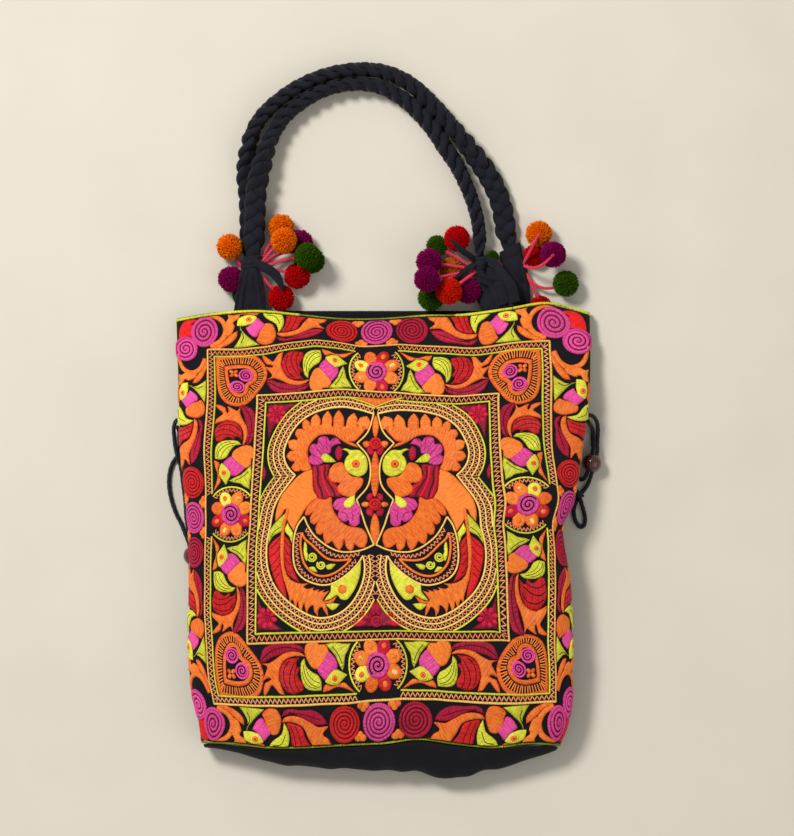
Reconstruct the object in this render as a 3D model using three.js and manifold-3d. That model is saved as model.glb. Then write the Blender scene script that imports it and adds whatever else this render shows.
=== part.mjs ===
// An embroidered cloth tote lying on its back, with braided handles, pompoms and beaded side ties.
// X runs across the bag, Y from the bottom to the mouth, Z up from the ground that it lies on.
// The origin is on the underside of the back panel, in the middle.

import * as THREE from 'three';
import { mergeVertices } from 'three/addons/utils/BufferGeometryUtils.js';
import Module from 'manifold-3d';

const wasm = await Module();
wasm.setup();

// Bag body, in millimetres
const panelWidth = 378;
const panelHeight = 390;
const bagDepth = 56;
const clothWall = 2;
const pipingDiameter = 3;
const baseOverhang = 29;
const seamGap = 0.3;

// Handles
const handleSpan = 199.5;
const handleRise = 169;
const tieHeight = 42.9;
const tieOffset = -14;
const braidWidth = 19.5;
const braidThickness = 10.8;
const braidPitch = 12.6;
const braidRelief = 0.2;
const tabWidth = 29;
const tabThickness = 2.6;
const tabReach = 15;

// Ties round the braid ends
const neckWidth = 12;
const neckThickness = 5.4;
const tieLength = 10;
const tieWall = 2.4;

// Pompoms on their strings
const pompomDiameter = 22;
const stringDiameter = 2.2;
const tuftRelief = 0.07;

// Side ties
const cordDiameter = 3.6;
const beadDiameter = 17.6;

// Shape of the stuffed sections: a squarer shoulder in front, a softer one behind
const frontFullness = 2.6;
const backFullness = 1.2;
const backFlat = 0.55;
const seamHeight = 0.45;
const arcSteps = 24;

// Half widths as shares of half the panel width, depths as shares of the bag's depth,
// from the bottom edge (at 0) to the mouth (at 1). The right side is pulled in at 0.5.
const sections = [
  { at: 0.0, left: 0.838, right: 0.824, depth: 0.6 },
  { at: 0.06, left: 0.848, right: 0.862, depth: 0.76 },
  { at: 0.16, left: 0.889, right: 0.88, depth: 0.92 },
  { at: 0.38, left: 0.896, right: 0.866, depth: 1.0 },
  { at: 0.5, left: 0.903, right: 0.833, depth: 1.0 },
  { at: 0.57, left: 0.912, right: 0.889, depth: 0.98 },
  { at: 0.7, left: 0.931, right: 0.928, depth: 0.88 },
  { at: 0.84, left: 0.942, right: 0.963, depth: 0.64 },
  { at: 1.0, left: 0.954, right: 0.963, depth: 0.32 },
];

// Where the wavy edges lie, as shares of the panel height, across the width from -1 to 1.
// The last column is how far the base shows past the front, as a share of its overhang.
const edges = [
  { at: -1.0, frontTop: 0.463, frontBottom: -0.491, backTop: 0.463, backBottom: -0.491, over: 0.05 },
  { at: -0.8, frontTop: 0.478, frontBottom: -0.494, backTop: 0.478, backBottom: -0.503, over: 0.22 },
  { at: -0.6, frontTop: 0.482, frontBottom: -0.503, backTop: 0.481, backBottom: -0.51, over: 0.4 },
  { at: -0.4, frontTop: 0.47, frontBottom: -0.502, backTop: 0.481, backBottom: -0.513, over: 0.54 },
  { at: -0.2, frontTop: 0.463, frontBottom: -0.497, backTop: 0.481, backBottom: -0.513, over: 0.67 },
  { at: 0.0, frontTop: 0.466, frontBottom: -0.493, backTop: 0.481, backBottom: -0.513, over: 0.8 },
  { at: 0.2, frontTop: 0.474, frontBottom: -0.484, backTop: 0.481, backBottom: -0.513, over: 0.97 },
  { at: 0.4, frontTop: 0.476, frontBottom: -0.494, backTop: 0.481, backBottom: -0.513, over: 0.97 },
  { at: 0.6, frontTop: 0.489, frontBottom: -0.502, backTop: 0.482, backBottom: -0.511, over: 0.66 },
  { at: 0.8, frontTop: 0.502, frontBottom: -0.494, backTop: 0.483, backBottom: -0.505, over: 0.47 },
  { at: 1.0, frontTop: 0.478, frontBottom: -0.498, backTop: 0.478, backBottom: -0.498, over: 0.05 },
];

// Grid lines of the cloth, closer where it bends
const columnShares = [-1, -0.95, -0.89, -0.82, -0.72, -0.55, -0.37, -0.18, 0, 0.18, 0.37, 0.55, 0.72, 0.82, 0.89, 0.95, 1];
const rowShares = [0.06, 0.16, 0.27, 0.38, 0.44, 0.5, 0.535, 0.57, 0.7, 0.77, 0.84, 0.92];
const baseRows = 5;
const baseReach = 0.97;

// Routes of the two handles. Across is a share of the span between the front ties, rise of
// the handle's rise. Turn goes from 0, lying flat, to 1, standing on its edge, and lift is 1
// where the braid lies on the other one.
const frontRoute = [
  { across: 0, rise: 0, turn: 0, lift: 1 },
  { across: 0.009, rise: 0.119, turn: 0, lift: 1 },
  { across: 0.013, rise: 0.254, turn: 0, lift: 1 },
  { across: 0.018, rise: 0.363, turn: 0.05, lift: 1 },
  { across: 0.034, rise: 0.461, turn: 0.3, lift: 0.9 },
  { across: 0.06, rise: 0.57, turn: 0.7, lift: 0.5 },
  { across: 0.094, rise: 0.668, turn: 1, lift: 0.1 },
  { across: 0.146, rise: 0.758, turn: 1, lift: 0 },
  { across: 0.226, rise: 0.833, turn: 1, lift: 0 },
  { across: 0.3, rise: 0.882, turn: 1, lift: 0 },
  { across: 0.39, rise: 0.914, turn: 1, lift: 0 },
  { across: 0.482, rise: 0.922, turn: 1, lift: 0 },
  { across: 0.57, rise: 0.903, turn: 1, lift: 0 },
  { across: 0.662, rise: 0.845, turn: 1, lift: 0 },
  { across: 0.737, rise: 0.767, turn: 1, lift: 0 },
  { across: 0.798, rise: 0.684, turn: 1, lift: 0 },
  { across: 0.845, rise: 0.596, turn: 1, lift: 0 },
  { across: 0.895, rise: 0.508, turn: 1, lift: 0 },
  { across: 0.93, rise: 0.425, turn: 1, lift: 0 },
  { across: 0.961, rise: 0.337, turn: 1, lift: 0 },
  { across: 0.988, rise: 0.228, turn: 1, lift: 0 },
  { across: 0.998, rise: 0.14, turn: 1, lift: 0 },
  { across: 1, rise: 0.06, turn: 1, lift: 0 },
  { across: 1, rise: 0, turn: 1, lift: 0 },
];
const backRoute = [
  { across: -0.009, rise: -0.01, turn: 0, lift: 0 },
  { across: -0.009, rise: 0.119, turn: 0, lift: 0 },
  { across: -0.013, rise: 0.326, turn: 0, lift: 0 },
  { across: -0.024, rise: 0.456, turn: 0.2, lift: 0 },
  { across: -0.013, rise: 0.606, turn: 0.75, lift: 0 },
  { across: 0.009, rise: 0.694, turn: 1, lift: 0 },
  { across: 0.057, rise: 0.775, turn: 1, lift: 0 },
  { across: 0.127, rise: 0.85, turn: 1, lift: 0 },
  { across: 0.202, rise: 0.91, turn: 1, lift: 0 },
  { across: 0.285, rise: 0.956, turn: 1, lift: 0 },
  { across: 0.377, rise: 0.987, turn: 1, lift: 0 },
  { across: 0.491, rise: 1, turn: 1, lift: 0 },
  { across: 0.588, rise: 0.984, turn: 1, lift: 0 },
  { across: 0.675, rise: 0.938, turn: 1, lift: 0 },
  { across: 0.737, rise: 0.881, turn: 1, lift: 0 },
  { across: 0.789, rise: 0.819, turn: 1, lift: 0 },
  { across: 0.864, rise: 0.72, turn: 1, lift: 0 },
  { across: 0.925, rise: 0.632, turn: 0.8, lift: 0 },
  { across: 0.978, rise: 0.549, turn: 0.5, lift: 0 },
  { across: 1.031, rise: 0.461, turn: 0.2, lift: 0 },
  { across: 1.075, rise: 0.363, turn: 0, lift: 0 },
  { across: 1.099, rise: 0.275, turn: 0, lift: 0 },
  { across: 1.114, rise: 0.166, turn: 0, lift: 0 },
  { across: 1.136, rise: 0.047, turn: 0, lift: 0 },
];

// Tabs: where the middle of the sewn end lies across the bag, and its width, as shares
const tabs = [
  { name: 'left_front', face: 'front', handle: 'front', end: 'first', across: -0.008, wide: 1 },
  { name: 'left_back', face: 'back', handle: 'back', end: 'first', across: 0.012, wide: 0.7 },
  { name: 'right_front', face: 'front', handle: 'front', end: 'last', across: 1.085, wide: 1.1 },
  { name: 'right_back', face: 'back', handle: 'back', end: 'last', across: 1.155, wide: 0.96 },
];

// Tails of the ties, from the tie outwards: across, up and height from the tie, in tie lengths
const tails = {
  left_front: [
    [
      { across: 0.3, up: -0.1, height: 0.45 },
      { across: 1.3, up: -0.62, height: 0.68 },
      { across: 2.1, up: -1.22, height: 0.66 },
      { across: 2.54, up: -2.1, height: 0.72 },
      { across: 2.63, up: -2.55, height: 0.66 },
    ],
  ],
  left_back: [],
  right_front: [
    [
      { across: -0.46, up: 0.15, height: 0.4 },
      { across: -0.9, up: 0.5, height: 1.2 },
      { across: -1.5, up: 0.88, height: 1.75 },
      { across: -2.1, up: 1.4, height: 2.02 },
      { across: -2.63, up: 2.01, height: 1.98 },
    ],
    [
      { across: -0.46, up: -0.15, height: 0.5 },
      { across: -0.85, up: -0.5, height: 0.95 },
      { across: -1.4, up: -0.9, height: 1.12 },
      { across: -2.19, up: -1.49, height: 1.15 },
    ],
  ],
  right_back: [],
};

// Pompoms: place from the front tie on their side, in pompom diameters, height from the
// ground. Wide, long and tall are their proportions, and lift and swing bend their string.
const pompoms = [
  { tie: 'left_front', colour: 'orange', across: 1.154, up: 1.512, height: 0.5, from: 0.6, swing: 0.3 },
  { tie: 'left_front', colour: 'orange', across: 1.273, up: 0.915, height: 1.34, from: 0.6 },
  { tie: 'left_front', colour: 'purple', across: 2.108, up: 1.034, height: 0.5, from: 0.6 },
  { tie: 'left_front', colour: 'green', across: 2.188, up: 0.318, height: 1.3, from: 0.6 },
  { tie: 'left_front', colour: 'red', across: 1.79, up: -0.477, height: 0.5, from: 0.6 },
  { tie: 'left_front', colour: 'red', across: 1.154, up: -1.432, height: 0.5, from: 0.6 },
  { tie: 'left_back', colour: 'orange', across: -1.07, up: 0.676, height: 0.5 },
  { tie: 'left_back', colour: 'purple', across: -1.04, up: -0.636, height: 0.5 },
  { tie: 'left_back', colour: 'green', across: -0.6, up: -1.273, height: 0.25, wide: 0.4, long: 0.75, tall: 0.45 },
  { tie: 'left_back', colour: 'green', across: 2.73, up: -0.04, height: 0.5, swing: -1 },
  { tie: 'right_front', colour: 'green', across: -1.71, up: 0.636, height: 0.41, wide: 0.82, long: 0.82, tall: 0.82, lift: 0.25 },
  { tie: 'right_front', colour: 'red', across: -0.915, up: 0.915, height: 0.8 },
  { tie: 'right_front', colour: 'purple', across: -2.029, up: 0, height: 1 },
  { tie: 'right_front', colour: 'purple', across: -2.108, up: -0.716, height: 1.74, lift: -0.3 },
  { tie: 'right_front', colour: 'green', across: -1.949, up: -1.432, height: 0.5, lift: 0.43, swing: 0.5 },
  { tie: 'right_front', colour: 'scarlet', across: -1.233, up: -1.193, height: 1.2, lift: 0.2 },
  { tie: 'right_front', colour: 'purple', across: -0.477, up: -1.153, height: 0.5 },
  { tie: 'right_front', colour: 'amber', across: -1.114, up: -0.318, height: 0.36, tall: 0.7 },
  { tie: 'right_back', colour: 'green', across: 0.517, up: 0.239, height: 0.4, wide: 0.47, long: 0.8, tall: 0.8 },
  { tie: 'right_back', colour: 'orange', across: 2.347, up: 1.114, height: 0.5, from: -1, lift: 0.42 },
  { tie: 'right_back', colour: 'red', across: 2.18, up: 0.25, height: 0.32, wide: 0.85, long: 0.85, tall: 0.6 },
  { tie: 'right_back', colour: 'purple', across: 2.904, up: 0.278, height: 1.08, swing: 1.4 },
  { tie: 'right_back', colour: 'green', across: 3.421, up: -0.875, height: 0.5, swing: 1 },
  { tie: 'right_back', colour: 'red', across: 2.42, up: -1.73, height: 0.33, wide: 0.8, long: 0.75, tall: 0.32 },
];

// Side ties: where the cords lie, in millimetres from the origin. Each leaves the side seam,
// comes down to the ground and runs through its bead. The left one is doubled, and so both
// its ends are in the seam. Of the right pair one ends in a stub, the other in a knotted loop.
const leftCordRoute = [
  [-179.2, 92, 20],
  [-181.3, 89.5, 15],
  [-182.6, 84, 9],
  [-182.3, 77, 5.9],
  [-181.6, 70, 5.9],
  [-179.6, 60.4, 5.9],
  [-177.5, 54, 3.4],
  [-176, 46.4, 2],
  [-174.9, 37, 2],
  [-172.8, 21.1, 2],
  [-171.7, 5.3, 2.4],
  [-169.2, -6.5, 5],
  [-165.2, -16.9, 8.8],
  [-163.6, -26.8, 8.8],
  [-162, -36.7, 8.8],
  [-159.8, -45, 4.4],
  [-157.5, -54, 2.3],
  [-158.2, -63, 2],
  [-162.6, -66.6, 2],
  [-166.4, -62, 2],
  [-166.2, -53, 2.4],
  [-165.9, -45, 5],
  [-165.8, -37.3, 8.8],
  [-167.4, -27.4, 8.8],
  [-169, -17.5, 8.8],
  [-172.7, -8, 5],
  [-176.6, 1.5, 2.4],
  [-180.7, 9.5, 2.2],
  [-185.5, 24.2, 2],
  [-187.1, 37, 2],
  [-186, 47.6, 2],
  [-183.3, 55, 2],
  [-179.6, 60.4, 2],
  [-177.6, 69, 2.2],
  [-177.5, 76, 3],
  [-177.9, 81.5, 7.5],
  [-178.6, 84.6, 13.5],
  [-179.2, 85.5, 19.4],
];
const rightStubRoute = [
  [180.1, 90.8, 20.2],
  [182.2, 88.2, 14],
  [184.6, 83, 6.5],
  [185, 76.5, 3],
  [185, 70.5, 5.6],
  [184.8, 64.4, 8.8],
  [182.2, 54.8, 8.8],
  [179.6, 45.1, 8.8],
  [178, 41.4, 6],
  [175.8, 39.8, 3.2],
  [173.6, 39.4, 2],
];
const rightLoopRoute = [
  [180.4, 96.4, 20.2],
  [184.4, 95.4, 16.5],
  [188.2, 90.5, 10],
  [189.4, 83, 5],
  [189.1, 76.5, 3],
  [188.8, 70, 5.6],
  [188.6, 63.4, 8.8],
  [186, 53.7, 8.8],
  [183.4, 44.1, 8.8],
  [181.6, 38, 5],
  [179.4, 33.2, 2.6],
  [176.8, 29.8, 2],
  [173.4, 25.4, 2],
  [170.4, 20, 2],
  [168.4, 13.5, 2],
  [168.9, 6.5, 2],
  [171.3, 0.6, 2],
  [174.6, -2.3, 2],
  [177.4, -0.2, 2],
  [178.3, 4.8, 2],
  [177, 12, 2.8],
  [175, 18.6, 4.8],
  [173.2, 24, 5.9],
  [171.3, 28, 5.2],
  [169.9, 30.5, 4.4],
];
const beads = [
  { name: 'side_bead_left', x: -165.5, y: -27.1, alongX: 0.16, alongY: -0.987 },
  { name: 'side_bead_right', x: 184, y: 54.25, alongX: -0.26, alongY: -0.965 },
];

// Sizes that follow from the ones above
const halfPanel = panelWidth / 2;
const edgeInset = seamGap / 2 + pipingDiameter + seamGap;
const mouthInset = pipingDiameter + seamGap;
const clothHalf = halfPanel - edgeInset;
const pipingOut = seamGap + pipingDiameter / 2;
const stringPlace = -tieLength / 2 - seamGap - stringDiameter;
const neckRound = 1.15;
const groupX = tieOffset - handleSpan / 2;
const groupY = edges[5].backTop * panelHeight + tieHeight;

const colours = {
  black: 0x17151c,
  ground: 0x201a24,
  embroidery: 0xc8452a,
  lime: 0xc9cf3a,
  bead: 0x4a1e12,
  string: 0xd81e3c,
  orange: 0xf08a18,
  purple: 0x7a1478,
  green: 0x2c5e18,
  red: 0xc2101c,
  scarlet: 0xe0301a,
  amber: 0xb85a14,
};

const group = new THREE.Group();

function addPart(name, geometry, color, roughness = 0.9) {
  const material = new THREE.MeshStandardMaterial({ color, roughness, metalness: 0 });
  const mesh = new THREE.Mesh(geometry, material);
  mesh.name = name;
  group.add(mesh);
  return mesh;
}

function mix(a, b, share) {
  return a + (b - a) * share;
}

function clamp(value, low, high) {
  return Math.min(Math.max(value, low), high);
}

// Smooth value of a table's column at a station between its rows.
function along(table, at, column) {
  const last = table.length - 1;
  let i = 0;
  while (i < last - 1 && at > table[i + 1].at) {
    i += 1;
  }
  const span = table[i + 1].at - table[i].at;
  const t = clamp((at - table[i].at) / span, 0, 1);
  const slope = (k) => {
    const before = table[Math.max(k - 1, 0)];
    const after = table[Math.min(k + 1, last)];
    return (after[column] - before[column]) / (after.at - before.at);
  };
  const start = table[i][column];
  const end = table[i + 1][column];
  const rise = end - start;
  const bend = t * t * (3 - 2 * t);
  const startPull = t * (1 - t) * (1 - t) * span * slope(i);
  const endPull = t * t * (1 - t) * span * slope(i + 1);
  return start + rise * bend + startPull - endPull;
}

// Solids from points

function closedBody(points, faces) {
  const positions = new Float32Array(points.flatMap((point) => [point.x, point.y, point.z]));
  let volume = 0;
  for (let i = 0; i < faces.length; i += 3) {
    const [a, b, c] = [points[faces[i]], points[faces[i + 1]], points[faces[i + 2]]];
    volume += a.dot(new THREE.Vector3().crossVectors(b, c));
  }
  if (volume < 0) {
    faces.reverse();
  }
  const geometry = new THREE.BufferGeometry();
  geometry.setAttribute('position', new THREE.BufferAttribute(positions, 3));
  geometry.setIndex(faces);
  geometry.computeVertexNormals();
  return geometry;
}

function addQuad(faces, a, b, c, d) {
  faces.push(a, b, c, a, c, d);
}

// A body through rings of points. Its ends are closed, unless the last ring joins the first.
function ringBody(rings, joined = false) {
  const sides = rings[0].length;
  const faces = [];
  const stretches = joined ? rings.length : rings.length - 1;
  for (let i = 0; i < stretches; i += 1) {
    const here = i * sides;
    const next = ((i + 1) % rings.length) * sides;
    for (let j = 0; j < sides; j += 1) {
      const k = (j + 1) % sides;
      addQuad(faces, here + j, here + k, next + k, next + j);
    }
  }
  if (!joined) {
    const end = (rings.length - 1) * sides;
    for (let j = 1; j < sides - 1; j += 1) {
      faces.push(0, j + 1, j);
      faces.push(end, end + j, end + j + 1);
    }
  }
  return closedBody(rings.flat(), faces);
}

// A cloth wall: a grid of points on its outside, and the direction inwards at each.
function wallBody(grid, inwards, thickness) {
  const rows = grid.length;
  const columns = grid[0].length;
  const outer = grid.flat();
  const inner = outer.map((point, i) => point.clone().addScaledVector(inwards.flat()[i], thickness));
  const shift = outer.length;
  const faces = [];
  for (let i = 0; i < rows - 1; i += 1) {
    for (let j = 0; j < columns - 1; j += 1) {
      const a = i * columns + j;
      const c = a + columns + 1;
      addQuad(faces, a, a + 1, c, c - 1);
      addQuad(faces, a + shift, c - 1 + shift, c + shift, a + 1 + shift);
    }
  }
  for (let j = 0; j < columns - 1; j += 1) {
    const top = (rows - 1) * columns + j;
    addQuad(faces, j, j + shift, j + 1 + shift, j + 1);
    addQuad(faces, top + 1, top + 1 + shift, top + shift, top);
  }
  for (let i = 0; i < rows - 1; i += 1) {
    const left = i * columns;
    const right = left + columns - 1;
    addQuad(faces, left + columns, left + columns + shift, left + shift, left);
    addQuad(faces, right, right + shift, right + columns + shift, right + columns);
  }
  return closedBody([...outer, ...inner], faces);
}

// The stuffed body's surfaces

// Half a section, from the middle of the bag out to the edge of the cloth.
function frontArc(half, depth) {
  const foot = depth * seamHeight + edgeInset;
  return Array.from({ length: arcSteps + 1 }, (_, i) => {
    const turn = (i / arcSteps) * (Math.PI / 2);
    const x = half * Math.sin(turn) ** (2 / frontFullness);
    const z = mix(foot, depth, Math.max(Math.cos(turn), 0) ** (2 / frontFullness));
    return new THREE.Vector2(x, z);
  });
}

function backArc(half, depth) {
  const top = depth * seamHeight - edgeInset;
  const curve = Array.from({ length: arcSteps + 1 }, (_, i) => {
    const turn = (i / arcSteps) * (Math.PI / 2);
    const x = half * mix(backFlat, 1, Math.sin(turn) ** (2 / backFullness));
    const z = mix(top, 0, Math.max(Math.cos(turn), 0) ** (2 / backFullness));
    return new THREE.Vector2(x, z);
  });
  return [new THREE.Vector2(0, 0), ...curve];
}

function placeOnArc(points, share) {
  const lengths = points.slice(1).map((point, i) => point.distanceTo(points[i]));
  let left = share * lengths.reduce((sum, length) => sum + length, 0);
  let i = 0;
  while (i < lengths.length - 1 && left > lengths[i]) {
    left -= lengths[i];
    i += 1;
  }
  return points[i].clone().lerp(points[i + 1], Math.min(left / lengths[i], 1));
}

// The piping of the front stands a little proud, and the back's lies level on the ground.
const frontFace = { arc: frontArc, top: 'frontTop', bottom: 'frontBottom', up: 1, sunk: clothWall / 2 };
const backFace = { arc: backArc, top: 'backTop', bottom: 'backBottom', up: -1, sunk: pipingDiameter / 2 };

// A point on the outside of a panel. Across runs from seam to seam and up from the bottom seam;
// past the cloth's side edge the surface goes on straight to the other panel.
function facePoint(face, across, up) {
  const share = Math.min(Math.abs(across) / clothHalf, 1);
  const beyond = Math.max(Math.abs(across) - clothHalf, 0);
  const side = across < 0 ? -1 : 1;
  const height = up / panelHeight;
  const at = clamp(height, 0, 1);
  const depth = bagDepth * along(sections, at, 'depth');
  const half = halfPanel * along(sections, at, side < 0 ? 'left' : 'right');
  const spot = placeOnArc(face.arc(half, depth), share);
  const bottom = panelHeight * along(edges, side * share, face.bottom);
  const top = panelHeight * along(edges, side * share, face.top);
  return new THREE.Vector3(side * spot.x, mix(bottom, top, height), spot.y - face.up * beyond);
}

function faceInwards(face, across, up) {
  if (Math.abs(across) >= clothHalf) {
    return new THREE.Vector3(-Math.sign(across), 0, 0);
  }
  const step = clothWall;
  const wide = facePoint(face, across + step, up).sub(facePoint(face, across - step, up));
  const long = facePoint(face, across, up + step).sub(facePoint(face, across, up - step));
  return wide.cross(long).normalize().multiplyScalar(-face.up);
}

// Where along a panel a given x lies.
function acrossAt(face, x, up) {
  let low = -clothHalf;
  let high = clothHalf;
  for (let i = 0; i < arcSteps; i += 1) {
    const middle = (low + high) / 2;
    if (facePoint(face, middle, up).x < x) {
      low = middle;
    } else {
      high = middle;
    }
  }
  return (low + high) / 2;
}

function panelBody(face, topInset) {
  const stops = [edgeInset, ...rowShares.map((share) => share * panelHeight), panelHeight - topInset];
  const acrosses = columnShares.map((share) => share * clothHalf);
  const grid = stops.map((up) => acrosses.map((across) => facePoint(face, across, up)));
  const inwards = stops.map((up) => acrosses.map((across) => faceInwards(face, across, up)));
  return wallBody(grid, inwards, clothWall);
}

// The boat-shaped base, from the front's bottom edge round to the back's.
function baseBody() {
  const acrosses = columnShares.map((share) => share * clothHalf * baseReach);
  const start = -seamGap / 2;
  const grid = [];
  const inwards = [];
  for (let i = 0; i <= baseRows; i += 1) {
    const share = i / baseRows;
    const turn = share * Math.PI;
    const points = [];
    const directions = [];
    for (const across of acrosses) {
      const front = facePoint(frontFace, across, start);
      const back = facePoint(backFace, across, start);
      const reach = baseOverhang * along(edges, across / clothHalf, 'over');
      const bulge = Math.max(reach - (front.y - back.y) / 2, pipingDiameter);
      const point = front.clone().lerp(back, share);
      point.y -= bulge * Math.sin(turn);
      point.z = mix(front.z, back.z, (1 - Math.cos(turn)) / 2);
      const direction = new THREE.Vector3(0, Math.sin(turn), 0);
      direction.addScaledVector(faceInwards(frontFace, across, edgeInset), Math.cos(turn / 2) ** 2);
      direction.addScaledVector(faceInwards(backFace, across, edgeInset), Math.sin(turn / 2) ** 2);
      points.push(point);
      directions.push(direction.normalize());
    }
    grid.push(points);
    inwards.push(directions);
  }
  return wallBody(grid, inwards, clothWall);
}

// Piping round a panel, in places across and up, each beside an edge of the cloth.
function pipingStops(topInset, round) {
  const diagonal = pipingOut * Math.SQRT1_2;
  const bottom = edgeInset;
  const top = panelHeight - topInset;
  const inner = columnShares.slice(1, -1).map((share) => share * clothHalf);
  const rises = rowShares.map((share) => share * panelHeight);
  const side = (sign) => rises.map((up) => [sign * (clothHalf + pipingOut), up]);
  const corner = (sign, height, below) => [
    [sign * (clothHalf + pipingOut), height],
    [sign * (clothHalf + diagonal), height + below * diagonal],
    [sign * clothHalf, height + below * pipingOut],
  ];
  const lower = [
    ...side(-1).reverse(),
    ...corner(-1, bottom, -1),
    ...inner.map((across) => [across, bottom - pipingOut]),
    ...corner(1, bottom, -1).reverse(),
    ...side(1),
  ];
  if (!round) {
    return [[-clothHalf - pipingOut, top], ...lower, [clothHalf + pipingOut, top]];
  }
  return [
    ...lower,
    ...corner(1, top, 1),
    ...inner.map((across) => [across, top + pipingOut]).reverse(),
    ...corner(-1, top, 1).reverse(),
  ];
}

function pipingBody(face, topInset, round) {
  const sides = 6;
  const stops = pipingStops(topInset, round);
  const outwards = stops.map(([across, up]) => faceInwards(face, across, up).negate());
  const centres = stops.map(([across, up], i) =>
    facePoint(face, across, up).addScaledVector(outwards[i], -face.sunk),
  );
  const count = centres.length;
  const rings = centres.map((centre, i) => {
    const before = centres[round ? (i + count - 1) % count : Math.max(i - 1, 0)];
    const after = centres[round ? (i + 1) % count : Math.min(i + 1, count - 1)];
    const onward = after.clone().sub(before).normalize();
    const across = onward.clone().cross(outwards[i]).normalize();
    const out = across.clone().cross(onward);
    return Array.from({ length: sides }, (_, j) => {
      const turn = ((j + 0.5) / sides) * 2 * Math.PI;
      const point = centre.clone().addScaledVector(across, (Math.cos(turn) * pipingDiameter) / 2);
      return point.addScaledVector(out, (Math.sin(turn) * pipingDiameter) / 2);
    });
  });
  return ringBody(rings, round);
}

// Bands with a rounded flat section: braids and tabs

const bandOutline = [
  [1, 0.4],
  [0.62, 1],
  [-0.62, 1],
  [-1, 0.4],
  [-1, -0.4],
  [-0.62, -1],
  [0.62, -1],
  [1, -0.4],
];
const up = new THREE.Vector3(0, 0, 1);

// Directions of a band's width and thickness at a place on its way.
function bandFrame(onward, turn) {
  const level = onward.clone().cross(up).normalize();
  const raised = level.clone().cross(onward).normalize();
  const angle = (-turn * Math.PI) / 2;
  const wide = level.clone().multiplyScalar(Math.cos(angle)).addScaledVector(raised, Math.sin(angle));
  const thick = wide.clone().cross(onward).negate().normalize();
  return { wide, thick };
}

function bandRing(centre, frame, halfWidth, halfThickness, leftFull = 1, rightFull = 1) {
  return bandOutline.map(([x, z]) => {
    const full = x < 0 ? leftFull : rightFull;
    return centre
      .clone()
      .addScaledVector(frame.wide, x * halfWidth * full)
      .addScaledVector(frame.thick, z * halfThickness);
  });
}

function routePoints(rows) {
  return rows.map((row) => {
    const angle = (row.turn * Math.PI) / 2;
    const halfHeight = (braidWidth * Math.sin(angle) + braidThickness * Math.cos(angle)) / 2;
    const z = row.lift * (braidThickness + 2 * seamGap) + halfHeight + seamGap;
    return new THREE.Vector3(groupX + row.across * handleSpan, groupY + row.rise * handleRise, z);
  });
}

function rowAt(rows, t, column) {
  const place = t * (rows.length - 1);
  const i = Math.min(Math.floor(place), rows.length - 2);
  return mix(rows[i][column], rows[i + 1][column], place - i);
}

// A handle: its edge is full on one side and then on the other, as the strands turn over.
function makeHandle(rows) {
  const points = routePoints(rows);
  const path = new THREE.CatmullRomCurve3(points, false, 'centripetal');
  path.arcLengthDivisions = rows.length * arcSteps;
  const length = path.getLength();
  const steps = 2 * Math.round(length / braidPitch);
  const rings = [];
  const ends = {};
  for (let i = 0; i <= steps; i += 1) {
    const gap = seamGap / 2 / length;
    const t = path.getUtoTmapping(mix(gap, 1 - gap, i / steps));
    const centre = path.getPoint(t);
    const frame = bandFrame(path.getTangent(t), rowAt(rows, t, 'turn'));
    const fromEnd = (Math.min(i, steps - i) / steps) * length;
    const open = clamp((fromEnd - tieLength) / braidPitch, 0, 1);
    const width = mix(neckWidth, braidWidth, open);
    const thickness = mix(neckThickness, braidThickness, open);
    const relief = 1 - braidRelief * open;
    const full = i % 2 ? [1, relief] : [relief, 1];
    rings.push(bandRing(centre, frame, width / 2, thickness / 2, ...full));
  }
  for (const [name, t, sign] of [['first', 0, 1], ['last', 1, -1]]) {
    const onward = path.getTangent(t).multiplyScalar(sign);
    ends[name] = { centre: path.getPoint(t), onward, turn: rowAt(rows, t, 'turn') };
  }
  return { body: ringBody(rings), ends };
}

// A tab: out of the tie, over the mouth's edge and down inside it.
function tabBody(tab, end) {
  const face = tab.face === 'front' ? frontFace : backFace;
  const x = groupX + tab.across * handleSpan;
  const clear = clothWall / 2 + pipingDiameter / 2 + 2 * seamGap + tabThickness / 2;
  const inside = (depthIn) => {
    const upAt = panelHeight - depthIn;
    const point = facePoint(face, acrossAt(face, x, upAt), upAt);
    point.z -= face.up * clear;
    return point;
  };
  const away = end.onward.clone().negate();
  const neckLength = tieLength / 2 + stringDiameter / 2 - stringPlace;
  const neck = [seamGap / 2, neckLength / 3, (neckLength * 2) / 3, neckLength].map((place) =>
    end.centre.clone().addScaledVector(away, place),
  );
  const path = new THREE.CatmullRomCurve3([...neck, inside(0), inside(tabReach)], false, 'centripetal');
  const steps = 9;
  const neckShare = neckLength / path.getLength();
  const rings = Array.from({ length: steps + 1 }, (_, i) => {
    const share = i / steps;
    const t = path.getUtoTmapping(share);
    const spread = clamp((share - neckShare) / (1 - 2 * neckShare), 0, 1);
    const eased = Math.sin((spread * Math.PI) / 2);
    const frame = bandFrame(path.getTangent(t), end.turn * (1 - eased));
    const width = mix(neckWidth, tabWidth * tab.wide, eased);
    const thickness = mix(neckThickness, tabThickness, eased);
    return bandRing(path.getPoint(t), frame, width / 2, thickness / 2);
  });
  return ringBody(rings);
}

// Joining bodies

function toSolid(geometry) {
  const bare = new THREE.BufferGeometry();
  bare.setAttribute('position', geometry.getAttribute('position').clone());
  if (geometry.index) {
    bare.setIndex(geometry.index.clone());
  }
  const merged = mergeVertices(bare, 1e-4);
  const vertProperties = new Float32Array(merged.getAttribute('position').array);
  const triVerts = new Uint32Array(merged.index.array);
  return new wasm.Manifold(new wasm.Mesh({ numProp: 3, vertProperties, triVerts }));
}

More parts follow.
